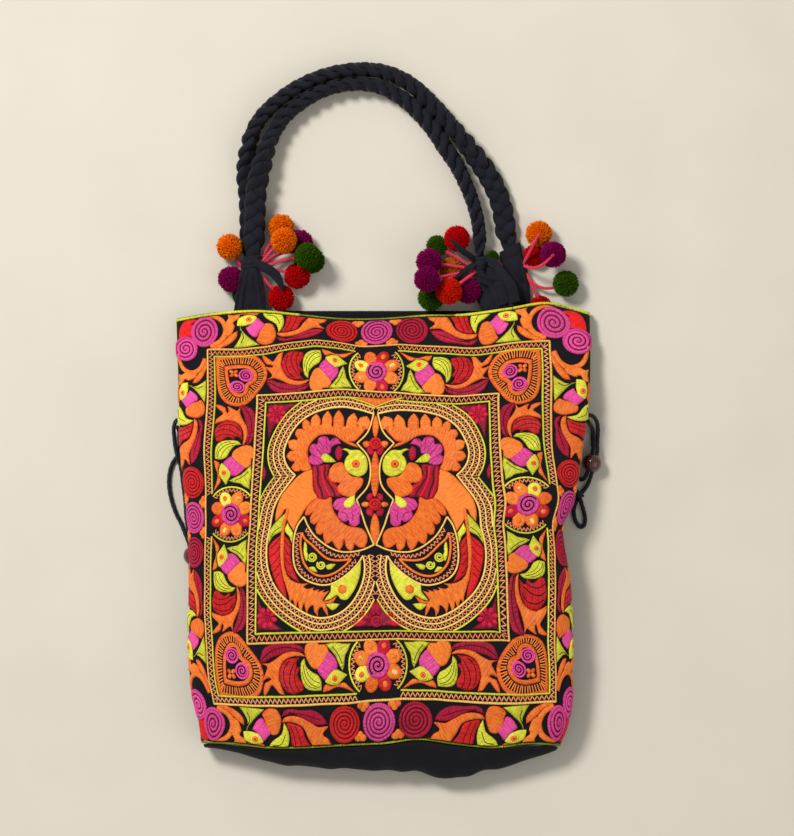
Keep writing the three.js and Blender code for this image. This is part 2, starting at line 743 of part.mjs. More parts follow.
function toGeometry(solid) {
  const mesh = solid.getMesh();
  const geometry = new THREE.BufferGeometry();
  geometry.setAttribute('position', new THREE.BufferAttribute(new Float32Array(mesh.vertProperties), 3));
  geometry.setIndex(new THREE.BufferAttribute(new Uint32Array(mesh.triVerts), 1));
  geometry.computeVertexNormals();
  return geometry;
}

// One body from several, open where the neck of a braid passes through them.
function joinedRound(end, geometries) {
  const frame = bandFrame(end.onward, end.turn);
  const rings = [2 * stringPlace, -2 * stringPlace].map((place) =>
    bandOutline.map(([x, z]) => roundNeck(end, frame, x, z, place, 0)),
  );
  const whole = geometries.map(toSolid).reduce((sum, solid) => sum.add(solid));
  return toGeometry(whole.subtract(toSolid(ringBody(rings))));
}

// A place just outside the neck of a braid: x and z go from -1 to 1 over its section.
function roundNeck(end, frame, x, z, place, out) {
  return end.centre
    .clone()
    .addScaledVector(end.onward, place)
    .addScaledVector(frame.wide, x * (neckWidth / 2 + seamGap + out))
    .addScaledVector(frame.thick, z * (neckThickness / 2 + seamGap + out));
}

// A sleeve round the neck of a braid: `from` and `to` are places along it, from the tie.
function sleeveBody(end, from, to, wall) {
  const frame = bandFrame(end.onward, end.turn);
  const profile = [
    [from, -seamGap],
    [from, wall / 2],
    [mix(from, to, 0.2), wall],
    [mix(from, to, 0.8), wall],
    [to, wall / 2],
    [to, -seamGap],
  ];
  const rings = bandOutline.map(([x, z]) =>
    profile.map(([place, out]) => roundNeck(end, frame, x, z, place, out)),
  );
  return ringBody(rings, true);
}

function tailBody(rows, end) {
  const points = rows.map(
    (row) =>
      new THREE.Vector3(
        end.centre.x + row.across * tieLength,
        end.centre.y + row.up * tieLength,
        end.centre.z + row.height * tieLength,
      ),
  );
  const path = new THREE.CatmullRomCurve3(points, false, 'centripetal');
  const steps = 7;
  const rings = Array.from({ length: steps + 1 }, (_, i) => {
    const share = i / steps;
    const t = path.getUtoTmapping(share);
    const width = mix(tieLength * 0.6, tieLength * 0.2, share);
    const thickness = mix(tieWall, tieWall / 2, share);
    return bandRing(path.getPoint(t), bandFrame(path.getTangent(t), 0), width / 2, thickness / 2);
  });
  return ringBody(rings);
}

function tieBody(name, end) {
  const sleeve = sleeveBody(end, -tieLength / 2, tieLength / 2, tieWall);
  return joinedRound(end, [sleeve, ...tails[name].map((rows) => tailBody(rows, end))]);
}

// Cords and strings

function roundShape(diameter, sides) {
  const corners = Array.from({ length: sides }, (_, i) => {
    const turn = (i / sides) * 2 * Math.PI;
    return new THREE.Vector2((Math.cos(turn) * diameter) / 2, (Math.sin(turn) * diameter) / 2);
  });
  return new THREE.Shape(corners);
}

function cordBody(curve, diameter, sides, steps) {
  return new THREE.ExtrudeGeometry(roundShape(diameter, sides), {
    steps,
    extrudePath: curve,
    bevelEnabled: false,
  });
}

function cordAlong(route) {
  const curve = new THREE.CatmullRomCurve3(route.map((place) => new THREE.Vector3(...place)));
  const steps = Math.round(curve.getLength() / (2.5 * cordDiameter));
  return cordBody(curve, cordDiameter, 8, steps);
}

function beadBody() {
  const bore = cordDiameter + 1.5 * seamGap;
  const radius = beadDiameter / 2;
  const open = Math.asin(bore / radius);
  const steps = 6;
  const profile = Array.from({ length: steps + 1 }, (_, i) => {
    const turn = mix(open, Math.PI - open, i / steps);
    return new THREE.Vector2(Math.sin(turn) * radius, -Math.cos(turn) * radius);
  });
  return new THREE.LatheGeometry([...profile, profile[0].clone()], 12);
}

// Pompoms: a ball of wool in tufts, twelve of them standing out from the rest.
function pompomBody(row) {
  const radius = pompomDiameter / 2;
  const ball = new THREE.IcosahedronGeometry(1, 1);
  const tufts = new THREE.IcosahedronGeometry(1, 0).getAttribute('position');
  const places = ball.getAttribute('position');
  const place = new THREE.Vector3();
  const tuft = new THREE.Vector3();
  for (let i = 0; i < places.count; i += 1) {
    place.fromBufferAttribute(places, i).normalize();
    let nearest = 0;
    for (let j = 0; j < tufts.count; j += 1) {
      nearest = Math.max(nearest, place.dot(tuft.fromBufferAttribute(tufts, j).normalize()));
    }
    const out = nearest > 0.999 ? 1 + tuftRelief : 1 - tuftRelief;
    places.setXYZ(i, place.x * radius * out, place.y * radius * out, place.z * radius * out);
  }
  ball.scale(row.wide ?? 1, row.long ?? 1, row.tall ?? 1);
  ball.deleteAttribute('uv');
  ball.deleteAttribute('normal');
  return mergeVertices(ball, 1e-4);
}

function pompomCentre(row, corner) {
  return new THREE.Vector3(
    corner.x + row.across * pompomDiameter,
    corner.y + row.up * pompomDiameter,
    row.height * pompomDiameter,
  );
}

// A string, from the turns round the neck to just outside its pompom.
function stringBody(row, corner, end) {
  const target = pompomCentre(row, corner);
  const frame = bandFrame(end.onward, end.turn);
  const heading = target.clone().sub(end.centre);
  const turn = Math.atan2(heading.dot(frame.thick), heading.dot(frame.wide)) + (row.from ?? 0);
  const x = clamp(neckRound * Math.cos(turn), -1, 1);
  const z = clamp(neckRound * Math.sin(turn), -1, 1);
  const start = roundNeck(end, frame, x, z, stringPlace, stringDiameter / 2);
  const bend = start.clone().lerp(target, 0.5);
  bend.z += (row.lift ?? 0) * pompomDiameter;
  bend.addScaledVector(heading.cross(up).normalize(), (row.swing ?? 0) * pompomDiameter);
  const ball = new THREE.Mesh(pompomBody(row), new THREE.MeshBasicMaterial());
  ball.position.copy(target);
  ball.updateMatrixWorld();
  const back = bend.clone().sub(target).normalize();
  const outside = target.clone().addScaledVector(back, pompomDiameter);
  const [hit] = new THREE.Raycaster(outside, back.clone().negate()).intersectObject(ball);
  const slope = Math.tan(Math.acos(clamp(hit.face.normal.dot(back), 0.5, 1)));
  const stop = hit.point.addScaledVector(back, seamGap + (slope + 0.1) * (stringDiameter / 2));
  const curve = new THREE.QuadraticBezierCurve3(start, bend, stop);
  const bent = Math.abs(row.lift ?? 0) + Math.abs(row.swing ?? 0);
  return cordBody(curve, stringDiameter, 5, 4 + Math.round(2 * bent));
}


// The assembly

addPart('front_panel', panelBody(frontFace, mouthInset), colours.embroidery);
addPart('back_panel', panelBody(backFace, 0), colours.ground);
addPart('base_panel', baseBody(), colours.ground);
addPart('piping_front', pipingBody(frontFace, mouthInset, true), colours.lime);
addPart('piping_back', pipingBody(backFace, 0, false), colours.lime);

const handles = { front: makeHandle(frontRoute), back: makeHandle(backRoute) };
addPart('handle_front', handles.front.body, colours.black);
addPart('handle_back', handles.back.body, colours.black);

const corners = {
  left: handles.front.ends.first.centre,
  right: handles.front.ends.last.centre,
};
for (const tab of tabs) {
  const end = handles[tab.handle].ends[tab.end];
  addPart(`tab_${tab.name}`, tabBody(tab, end), colours.black);
  addPart(`tie_${tab.name}`, tieBody(tab.name, end), colours.black);
  const corner = corners[tab.name.split('_')[0]];
  const own = pompoms.filter((row) => row.tie === tab.name);
  const turns = sleeveBody(end, stringPlace - stringDiameter, stringPlace + stringDiameter, stringDiameter);
  const strings = own.map((row) => stringBody(row, corner, end));
  addPart(`strings_${tab.name}`, joinedRound(end, [turns, ...strings]), colours.string);
  own.forEach((row, i) => {
    const ball = addPart(`pompom_${tab.name}_${i + 1}`, pompomBody(row), colours[row.colour]);
    ball.position.copy(pompomCentre(row, corner));
  });
}

addPart('side_cord_left', cordAlong(leftCordRoute), colours.black);
addPart('side_cord_right_stub', cordAlong(rightStubRoute), colours.black);
addPart('side_cord_right_loop', cordAlong(rightLoopRoute), colours.black);
for (const bead of beads) {
  const ball = addPart(bead.name, beadBody(), colours.bead, 0.35);
  const axis = new THREE.Vector3(bead.alongX, bead.alongY, 0).normalize();
  ball.quaternion.setFromUnitVectors(new THREE.Vector3(0, 1, 0), axis);
  ball.position.set(bead.x, bead.y, beadDiameter / 2);
}

export default group;
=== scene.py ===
import math

import bpy
import numpy as np
from mathutils.geometry import delaunay_2d_cdt
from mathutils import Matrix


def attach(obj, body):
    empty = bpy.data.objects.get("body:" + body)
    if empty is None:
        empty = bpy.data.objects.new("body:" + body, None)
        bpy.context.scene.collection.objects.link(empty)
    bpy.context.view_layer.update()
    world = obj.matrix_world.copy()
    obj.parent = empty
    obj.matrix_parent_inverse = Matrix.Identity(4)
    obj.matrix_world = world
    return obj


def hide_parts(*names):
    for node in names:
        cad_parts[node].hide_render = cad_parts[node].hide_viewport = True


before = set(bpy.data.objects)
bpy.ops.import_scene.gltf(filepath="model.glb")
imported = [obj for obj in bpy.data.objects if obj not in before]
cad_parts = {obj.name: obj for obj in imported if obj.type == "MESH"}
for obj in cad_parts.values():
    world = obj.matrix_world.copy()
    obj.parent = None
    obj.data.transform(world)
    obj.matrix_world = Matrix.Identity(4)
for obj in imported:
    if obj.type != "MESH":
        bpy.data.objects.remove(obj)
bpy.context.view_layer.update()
rng = np.random.default_rng(11)
print("frame loaded")


# Meshes and paths, worked out in millimetres and made in metres

def unit(v):
    v = np.asarray(v, float)
    return v / np.maximum(np.linalg.norm(v, axis=-1, keepdims=True), 1e-9)


def mix(a, b, share):
    return a + (b - a) * share


def makePiece(name, points, faces, material, uv=None, tone=None, nodes=()):
    points = np.asarray(points, float) * 0.001
    mesh = bpy.data.meshes.new(name)
    mesh.from_pydata(points.tolist(), [], [list(map(int, f)) for f in faces])
    mesh.validate()
    mesh.shade_smooth()
    if uv is not None:
        layer = mesh.uv_layers.new(name="UVMap")
        corner = np.zeros(len(mesh.loops), np.int32)
        mesh.loops.foreach_get("vertex_index", corner)
        layer.data.foreach_set("uv", np.asarray(uv, np.float32)[corner].ravel())
    if tone is not None:
        attribute = mesh.attributes.new("tone", "FLOAT", "POINT")
        attribute.data.foreach_set("value", np.asarray(tone, np.float32))
    mesh.materials.append(material)
    piece = bpy.data.objects.new(name, mesh)
    bpy.context.scene.collection.objects.link(piece)
    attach(piece, "root")
    if nodes:
        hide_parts(*nodes)
    return piece


def joined(parts):
    points, faces, uvs = [], [], []
    shift = 0
    for p, f, uv in parts:
        points.append(p)
        uvs.append(uv)
        faces += [[i + shift for i in face] for face in f]
        shift += len(p)
    return np.vstack(points), faces, np.vstack(uvs)


# A smooth curve through all points: a centripetal spline, and where each place lies between them
def smoothPath(points, perSpan=12, closed=False):
    points = np.asarray(points, float)
    if closed:
        padded = np.vstack([points[-1], points, points[0], points[1]])
    else:
        padded = np.vstack([2 * points[0] - points[1], points, 2 * points[-1] - points[-2]])
    out, place = [], []
    for i in range(len(padded) - 3):
        p0, p1, p2, p3 = padded[i:i + 4]
        gaps = [max(np.linalg.norm(b - a) ** 0.5, 1e-4) for a, b in ((p0, p1), (p1, p2), (p2, p3))]
        m1 = (p1 - p0) / gaps[0] - (p2 - p0) / (gaps[0] + gaps[1]) + (p2 - p1) / gaps[1]
        m2 = (p2 - p1) / gaps[1] - (p3 - p1) / (gaps[1] + gaps[2]) + (p3 - p2) / gaps[2]
        m1, m2 = m1 * gaps[1], m2 * gaps[1]
        t = np.arange(perSpan)[:, None] / perSpan
        out.append(p1 * (1 + 2 * t) * (1 - t) ** 2 + p2 * t * t * (3 - 2 * t)
                   + m1 * t * (1 - t) ** 2 - m2 * t * t * (1 - t))
        place.append(i + t[:, 0])
    if not closed:
        out.append(points[-1:])
        place.append(np.array([len(points) - 1.0]))
    return np.vstack(out), np.concatenate(place)


def arcLengths(path):
    return np.concatenate([[0], np.cumsum(np.linalg.norm(np.diff(path, axis=0), axis=1))])


def resample(path, step, *columns):
    lengths = arcLengths(path)
    count = max(int(round(lengths[-1] / step)), 1) + 1
    at = np.linspace(0, lengths[-1], count)
    even = np.stack([np.interp(at, lengths, path[:, k]) for k in range(path.shape[1])], axis=1)
    return (even, at, *[np.interp(at, lengths, c) for c in columns])


def tangentsOf(path, closed=False):
    if closed:
        return unit(np.roll(path, -1, axis=0) - np.roll(path, 1, axis=0))
    return unit(np.gradient(path, axis=0))


# A skin over rings, with its UV map in millimetres: along the rings, then round them
def loft(rings, closed=False, capped=True):
    rings = np.asarray(rings, float)
    n, m = rings.shape[:2]
    points = rings.reshape(-1, 3)
    faces = []
    for i in range(n if closed else n - 1):
        a, b = i * m, ((i + 1) % n) * m
        for j in range(m):
            k = (j + 1) % m
            faces.append([a + j, a + k, b + k, b + j])
    along = arcLengths(rings.mean(1))
    girth = np.linalg.norm(np.diff(rings[n // 2], axis=0, append=rings[n // 2][:1]), axis=1)
    place = np.concatenate([[0], np.cumsum(girth)[:-1]])
    uv = np.stack(np.broadcast_arrays(along[:, None], place[None, :]), axis=-1).reshape(-1, 2)
    if capped and not closed:
        points = np.vstack([points, rings[0].mean(0), rings[-1].mean(0)])
        uv = np.vstack([uv, [0, 0], [along[-1], 0]])
        for j in range(m):
            k = (j + 1) % m
            faces.append([k, j, n * m])
            faces.append([(n - 1) * m + j, (n - 1) * m + k, n * m + 1])
    return points, faces, uv


def tubeRings(path, radius, sides, closed=False, twist=0.0, ridges=0, relief=0.0):
    along = tangentsOf(path, closed)
    start = np.array([0, 0, 1.0]) if abs(along[0][2]) < 0.9 else np.array([1.0, 0, 0])
    side = unit(np.cross(along[0], start))
    radius = np.broadcast_to(radius, len(path))
    lengths = arcLengths(path)
    turn = np.linspace(0, 2 * math.pi, sides, endpoint=False)
    rings = []
    for i, (p, t) in enumerate(zip(path, along)):
        side = unit(side - t * side.dot(t))
        other = np.cross(t, side)
        r = radius[i] * (1 + relief * np.cos(ridges * turn + twist * lengths[i]))
        rings.append(p + side * (r * np.cos(turn))[:, None] + other * (r * np.sin(turn))[:, None])
    return rings


# Materials

def rgb(text):
    values = [int(text[i:i + 2], 16) / 255 for i in (0, 2, 4)]
    return [v / 12.92 if v <= 0.04045 else ((v + 0.055) / 1.055) ** 2.4 for v in values] + [1.0]


def addNode(tree, kind, inputs=(), **settings):
    node = tree.nodes.new("ShaderNode" + kind)
    for key, value in settings.items():
        setattr(node, key, value)
    for key, value in dict(inputs).items():
        if isinstance(value, bpy.types.NodeSocket):
            tree.links.new(value, node.inputs[key])
        else:
            node.inputs[key].default_value = value
    return node


def calc(tree, operation, a, b=0.0):
    return addNode(tree, "Math", {0: a, 1: b}, operation=operation).outputs[0]


def startMaterial(name, **sockets):
    material = bpy.data.materials.new(name)
    material.use_nodes = True
    tree = material.node_tree
    shader = tree.nodes["Principled BSDF"]
    for key, value in sockets.items():
        shader.inputs[key].default_value = value
    return material, tree, shader


def finishMaterial(tree, shader, colour, height, strength, distance):
    tree.links.new(colour, shader.inputs["Base Color"])
    bump = addNode(tree, "Bump", {"Height": height, "Strength": strength, "Distance": distance})
    tree.links.new(bump.outputs[0], shader.inputs["Normal"])


def mixColour(tree, share, a, b):
    node = addNode(tree, "Mix", data_type="RGBA")
    for socket, value in ((node.inputs[0], share), (node.inputs[6], a), (node.inputs[7], b)):
        if isinstance(value, bpy.types.NodeSocket):
            tree.links.new(value, socket)
        else:
            socket.default_value = value
    return node.outputs[2]


# Stitched thread: fine lines a gap apart, streaks along the stitch, and flecks. The UV map is in millimetres,
# and the points' own tone, random with painted shade and highlight added, makes a place darker or brighter.
def threadMaterial(name, dark, bright, gap=0.62, roughness=0.5, sheen=0.05, shine=0.22):
    material, tree, shader = startMaterial(
        name, Roughness=roughness, **{"Sheen Weight": sheen, "Specular IOR Level": shine})
    uv = addNode(tree, "UVMap", uv_map="UVMap").outputs[0]
    parts = addNode(tree, "SeparateXYZ", {0: uv}).outputs
    wave = calc(tree, "SINE", calc(tree, "MULTIPLY", parts[0], 2 * math.pi / gap))
    streaks = addNode(tree, "Mapping", {0: uv, 3: (1 / 1.3, 1 / 9, 1)}).outputs[0]
    flecks = addNode(tree, "Mapping", {0: uv, 3: (1 / 0.8, 1 / 2.2, 1)}).outputs[0]
    streak = addNode(tree, "TexNoise", {0: streaks, "Scale": 1.0, "Detail": 2.0}).outputs[0]
    fleck = addNode(tree, "TexNoise", {0: flecks, "Scale": 1.0, "Detail": 2.0}).outputs[0]
    tone = addNode(tree, "Attribute", attribute_name="tone").outputs["Fac"]
    share = calc(tree, "ADD", calc(tree, "MULTIPLY", streak, 1.5), calc(tree, "MULTIPLY", fleck, 1.1))
    share = calc(tree, "ADD", share, -0.78)
    share = calc(tree, "ADD", share, calc(tree, "MULTIPLY", tone, 0.45))
    share = calc(tree, "ADD", share, calc(tree, "MULTIPLY", wave, 0.16))
    share = addNode(tree, "Clamp", {0: share}).outputs[0]
    colour = mixColour(tree, share, rgb(dark), rgb(bright))
    height = calc(tree, "ADD", calc(tree, "MULTIPLY", wave, 0.3), calc(tree, "MULTIPLY", streak, 1.6))
    finishMaterial(tree, shader, colour, height, 0.55, 0.0005)
    return material


# Plain weave with lint, its thread in millimetres
def clothMaterial(name, dark, bright, roughness=0.85, thread=0.55, wear=0.5):
    material, tree, shader = startMaterial(
        name, Roughness=roughness, **{"Sheen Weight": 0.05, "Sheen Roughness": 0.5, "Specular IOR Level": 0.2})
    place = addNode(tree, "TexCoord").outputs["Object"]
    parts = addNode(tree, "SeparateXYZ", {0: place}).outputs
    frequency = 2 * math.pi / (thread * 0.001)
    warp = calc(tree, "SINE", calc(tree, "MULTIPLY", parts[0], frequency))
    weft = calc(tree, "SINE", calc(tree, "MULTIPLY", parts[1], frequency))
    weave = calc(tree, "MULTIPLY", warp, weft)
    cloud = addNode(tree, "TexNoise", {0: place, "Scale": 90.0, "Detail": 4.0}).outputs[0]
    lint = addNode(tree, "TexNoise", {0: place, "Scale": 1400.0, "Detail": 2.0}).outputs[0]
    share = calc(tree, "ADD", calc(tree, "MULTIPLY", cloud, 1.2 * wear), calc(tree, "MULTIPLY", lint, 0.8 * wear))
    share = calc(tree, "ADD", calc(tree, "ADD", share, -0.6 * wear), calc(tree, "MULTIPLY", weave, 0.15))
    share = addNode(tree, "Clamp", {0: share}).outputs[0]
    colour = mixColour(tree, share, rgb(dark), rgb(bright))
    height = calc(tree, "ADD", calc(tree, "MULTIPLY", weave, 0.35), lint)
    finishMaterial(tree, shader, colour, height, 0.5, 0.0004)
    return material


print("helpers ready")

# Camera, light and floor

camera = bpy.data.objects.new("camera", bpy.data.cameras.new("camera"))
camera.data.sensor_fit = "HORIZONTAL"
camera.data.sensor_width = 36
cameraDistance, seenWidth = 5.5, 0.69475  # metres, from the camera to the bag's middle and across the picture
camera.data.lens = camera.data.sensor_width * cameraDistance / seenWidth
camera.data.clip_end = 20
camera.location = (0.0131, 0.0936, 5.52)
bpy.context.scene.collection.objects.link(camera)
bpy.context.scene.camera = camera

lamps = [
    {"name": "key", "place": (-1.5, 1.7, 2.6), "size": 0.8, "power": 104},
    {"name": "fill", "place": (1.9, -1.0, 2.2), "size": 2.2, "power": 14},
]
for lamp in lamps:
    light = bpy.data.objects.new(lamp["name"], bpy.data.lights.new(lamp["name"], "AREA"))
    light.data.size = lamp["size"]
    light.data.energy = lamp["power"]
    light.location = lamp["place"]
    aim = np.array([0, 0.05, 0]) - np.array(lamp["place"])
    light.rotation_euler = (math.atan2(np.hypot(aim[0], aim[1]), -aim[2]), 0,
                            math.atan2(aim[1], aim[0]) - math.pi / 2)
    bpy.context.scene.collection.objects.link(light)
world = bpy.data.worlds.new("studio")
world.use_nodes = True
world.node_tree.nodes["Background"].inputs[0].default_value = (0.95, 0.97, 1, 1)
world.node_tree.nodes["Background"].inputs[1].default_value = 0.42
bpy.context.scene.world = world
bpy.context.scene.view_settings.view_transform = "Standard"

floorMesh = bpy.data.meshes.new("floor")
floorMesh.from_pydata([(-3, -3, 0), (3, -3, 0), (3, 3, 0), (-3, 3, 0)], [], [(0, 1, 2, 3)])
floor = bpy.data.objects.new("floor", floorMesh)
floorPaint, tree, shader = startMaterial("floorPaint", Roughness=0.8)
grain = addNode(tree, "TexNoise", {"Scale": 60.0, "Detail": 5.0}).outputs[0]
finishMaterial(tree, shader, mixColour(tree, grain, rgb("cfc6b4"), rgb("d8d0c0")), grain, 0.08, 0.0005)
floorMesh.materials.append(floorPaint)
bpy.context.scene.collection.objects.link(floor)
print("camera, light and floor made")

# Side ties: cords first, on the routes of their solids

blackCord = threadMaterial("blackCord", "060607", "22222a", gap=0.9, roughness=0.45)
cordDiameter = 3.6
cordLook = {"step": 1.1, "sides": 14, "twist": 1.15, "ridges": 4, "relief": 0.09}
leftCordRoute = [
    (-179.2, 92, 20), (-181.3, 89.5, 15), (-182.6, 84, 9), (-182.3, 77, 5.9), (-181.6, 70, 5.9),
    (-179.6, 60.4, 5.9), (-177.5, 54, 3.4), (-176, 46.4, 2), (-174.9, 37, 2), (-172.8, 21.1, 2),
    (-171.7, 5.3, 2.4), (-169.2, -6.5, 5), (-165.2, -16.9, 8.8), (-163.6, -26.8, 8.8), (-162, -36.7, 8.8),
    (-159.8, -45, 4.4), (-157.5, -54, 2.3), (-158.2, -63, 2), (-162.6, -66.6, 2), (-166.4, -62, 2),
    (-166.2, -53, 2.4), (-165.9, -45, 5), (-165.8, -37.3, 8.8), (-167.4, -27.4, 8.8), (-169, -17.5, 8.8),
    (-172.7, -8, 5), (-176.6, 1.5, 2.4), (-180.7, 9.5, 2.2), (-185.5, 24.2, 2), (-187.1, 37, 2),
    (-186, 47.6, 2), (-183.3, 55, 2), (-179.6, 60.4, 2), (-177.6, 69, 2.2), (-177.5, 76, 3),
    (-177.9, 81.5, 7.5), (-178.6, 84.6, 13.5), (-179.2, 85.5, 19.4),
]
rightStubRoute = [
    (180.1, 90.8, 20.2), (182.2, 88.2, 14), (184.6, 83, 6.5), (185, 76.5, 3), (185, 70.5, 5.6),
    (184.8, 64.4, 8.8), (182.2, 54.8, 8.8), (179.6, 45.1, 8.8), (178, 41.4, 6), (175.8, 39.8, 3.2), (173.6, 39.4, 2),
]
rightLoopRoute = [
    (180.4, 96.4, 20.2), (184.4, 95.4, 16.5), (188.2, 90.5, 10), (189.4, 83, 5), (189.1, 76.5, 3),
    (188.8, 70, 5.6), (188.6, 63.4, 8.8), (186, 53.7, 8.8), (183.4, 44.1, 8.8), (181.6, 38, 5),
    (179.4, 33.2, 2.6), (176.8, 29.8, 2), (173.4, 25.4, 2), (170.4, 20, 2), (168.4, 13.5, 2),
    (168.9, 6.5, 2), (171.3, 0.6, 2), (174.6, -2.3, 2), (177.4, -0.2, 2), (178.3, 4.8, 2),
    (177, 12, 2.8), (175, 18.6, 4.8), (173.2, 24, 5.9), (171.3, 28, 5.2), (169.9, 30.5, 4.4),
]


def cordPiece(name, route, nodes):
    path, _ = smoothPath(route, 10)
    even, at = resample(path, cordLook["step"])
    rings = tubeRings(even, cordDiameter / 2, cordLook["sides"], twist=cordLook["twist"],
                      ridges=cordLook["ridges"], relief=cordLook["relief"])
    points, faces, uv = loft(rings)
    uv = np.stack([uv[:, 1] * 1.3 + uv[:, 0] * 0.9, uv[:, 0]], axis=1)
    piece = makePiece(name, points, faces, blackCord, uv, nodes=nodes)
    return piece, even, at[-1]


leftCord, leftLine, leftLength = cordPiece("sideCordLeft", leftCordRoute, ["side_cord_left"])
stubCord, stubLine, stubLength = cordPiece("sideCordRightStub", rightStubRoute, ["side_cord_right_stub"])
loopCord, loopLine, loopLength = cordPiece("sideCordRightLoop", rightLoopRoute, ["side_cord_right_loop"])

wood, tree, shader = startMaterial("darkWood", Roughness=0.22, **{"Coat Weight": 0.6, "Coat Roughness": 0.12})
place = addNode(tree, "TexCoord").outputs["Object"]
rings = addNode(tree, "TexWave", {0: place, "Scale": 160.0, "Distortion": 7.0, "Detail": 3.0}).outputs["Fac"]
finishMaterial(tree, shader, mixColour(tree, rings, rgb("200a06"), rgb("5a1f12")), rings, 0.15, 0.0003)


bead = {"radius": 8.7, "bore": 4.1, "sides": 40}


def beadPiece(name, centre, axis, node):
    radius, bore = bead["radius"], bead["bore"]
    start = math.asin(bore / radius)
    turns = np.linspace(start, math.pi - start, 22)
    profile = [(radius * math.sin(t), -radius * math.cos(t)) for t in turns]
    profile += [(bore - 0.25, profile[-1][1] - 0.4), (bore - 0.3, 0), (bore - 0.25, profile[0][1] + 0.4)]
    axis = unit(axis)
    side = unit(np.cross(axis, (0, 0, 1.0)))
    other = np.cross(axis, side)
    around = np.linspace(0, 2 * math.pi, bead["sides"], endpoint=False)
    rings = [[centre + axis * y + (side * math.cos(a) + other * math.sin(a)) * r for r, y in profile]
             for a in around]
    points, faces, uv = loft(rings, closed=True)
    return makePiece(name, points, faces, wood, uv, nodes=[node])


leftBead = beadPiece("beadLeft", np.array([-165.5, -27.1, 8.8]), (0.16, -0.987, 0), "side_bead_left")
rightBead = beadPiece("beadRight", np.array([184, 54.25, 8.8]), (-0.26, -0.965, 0), "side_bead_right")

# The knot over the loop: turns of the cord round its two strands
knotTurns = np.linspace(0, 2.4 * 2 * math.pi, 60)
knotLine = np.array([(173.1 + 3.2 * math.cos(a) - a * 0.12, 25.2 + a * 0.22, 4.7 + 2.7 * math.sin(a))
                     for a in knotTurns])
points, faces, uv = loft(tubeRings(knotLine, 1.25, 10, twist=1.15, ridges=4, relief=0.08))
knot = makePiece("sideKnot", points, faces, blackCord, uv)

print("side ties made", round(leftLength), round(stubLength), round(loopLength))

# The stuffed body's surfaces, from the same sizes as the solids

panelWidth, panelHeight, bagDepth = 378, 390, 56
clothWall, pipingDiameter, baseOverhang, seamGap = 2, 3, 29, 0.3
frontFullness, backFullness, backFlat, seamHeight = 2.6, 1.2, 0.55, 0.45
sections = {
    "at": [0, 0.06, 0.16, 0.38, 0.5, 0.57, 0.7, 0.84, 1],
    "left": [0.838, 0.848, 0.889, 0.888, 0.893, 0.908, 0.931, 0.942, 0.954],
    "right": [0.824, 0.862, 0.88, 0.866, 0.833, 0.889, 0.928, 0.963, 0.963],
    "depth": [0.6, 0.76, 0.92, 1, 1, 0.98, 0.88, 0.64, 0.32],
}
edges = {
    "at": [-1, -0.8, -0.6, -0.4, -0.2, 0, 0.2, 0.4, 0.6, 0.8, 1],
    "frontTop": [0.463, 0.478, 0.484, 0.476, 0.467, 0.467, 0.474, 0.476, 0.489, 0.502, 0.478],
    "frontBottom": [-0.491, -0.494, -0.503, -0.502, -0.497, -0.493, -0.484, -0.494, -0.502, -0.494, -0.498],
    "backTop": [0.463, 0.478, 0.481, 0.481, 0.481, 0.481, 0.481, 0.481, 0.482, 0.483, 0.478],
    "backBottom": [-0.491, -0.503, -0.51, -0.513, -0.513, -0.513, -0.513, -0.513, -0.511, -0.505, -0.498],
    "over": [0.05, 0.22, 0.4, 0.54, 0.67, 0.8, 0.97, 0.97, 0.66, 0.47, 0.05],
}
edgeInset = seamGap / 2 + pipingDiameter + seamGap
mouthInset = pipingDiameter + seamGap
clothHalf = panelWidth / 2 - edgeInset


# A column of a table, read smoothly between its rows
def along(table, at, column):
    x, y = np.array(table["at"], float), np.array(table[column], float)
    last = len(x) - 1
    at = np.asarray(at, float)
    i = np.clip(np.searchsorted(x, at, side="left") - 1, 0, last - 1)
    span = x[i + 1] - x[i]
    t = np.clip((at - x[i]) / span, 0, 1)

    def slope(k):
        before, after = np.maximum(k - 1, 0), np.minimum(k + 1, last)
        return (y[after] - y[before]) / (x[after] - x[before])

    bend = t * t * (3 - 2 * t)
    return (y[i] + (y[i + 1] - y[i]) * bend + t * (1 - t) ** 2 * span * slope(i)
            - t * t * (1 - t) * span * slope(i + 1))


# Half of a level section, from the middle to the seam
def sectionArc(front, half, depth):
    turn = np.linspace(0, math.pi / 2, 73)
    sine, cosine = np.sin(turn), np.maximum(np.cos(turn), 0)
    if front:
        foot = depth * seamHeight + edgeInset
        return half * sine ** (2 / frontFullness), mix(foot, depth, cosine ** (2 / frontFullness))
    top = depth * seamHeight - edgeInset
    x = half * mix(backFlat, 1, sine ** (2 / backFullness))
    return np.append(0, x), np.append(0, mix(top, 0, cosine ** (2 / backFullness)))


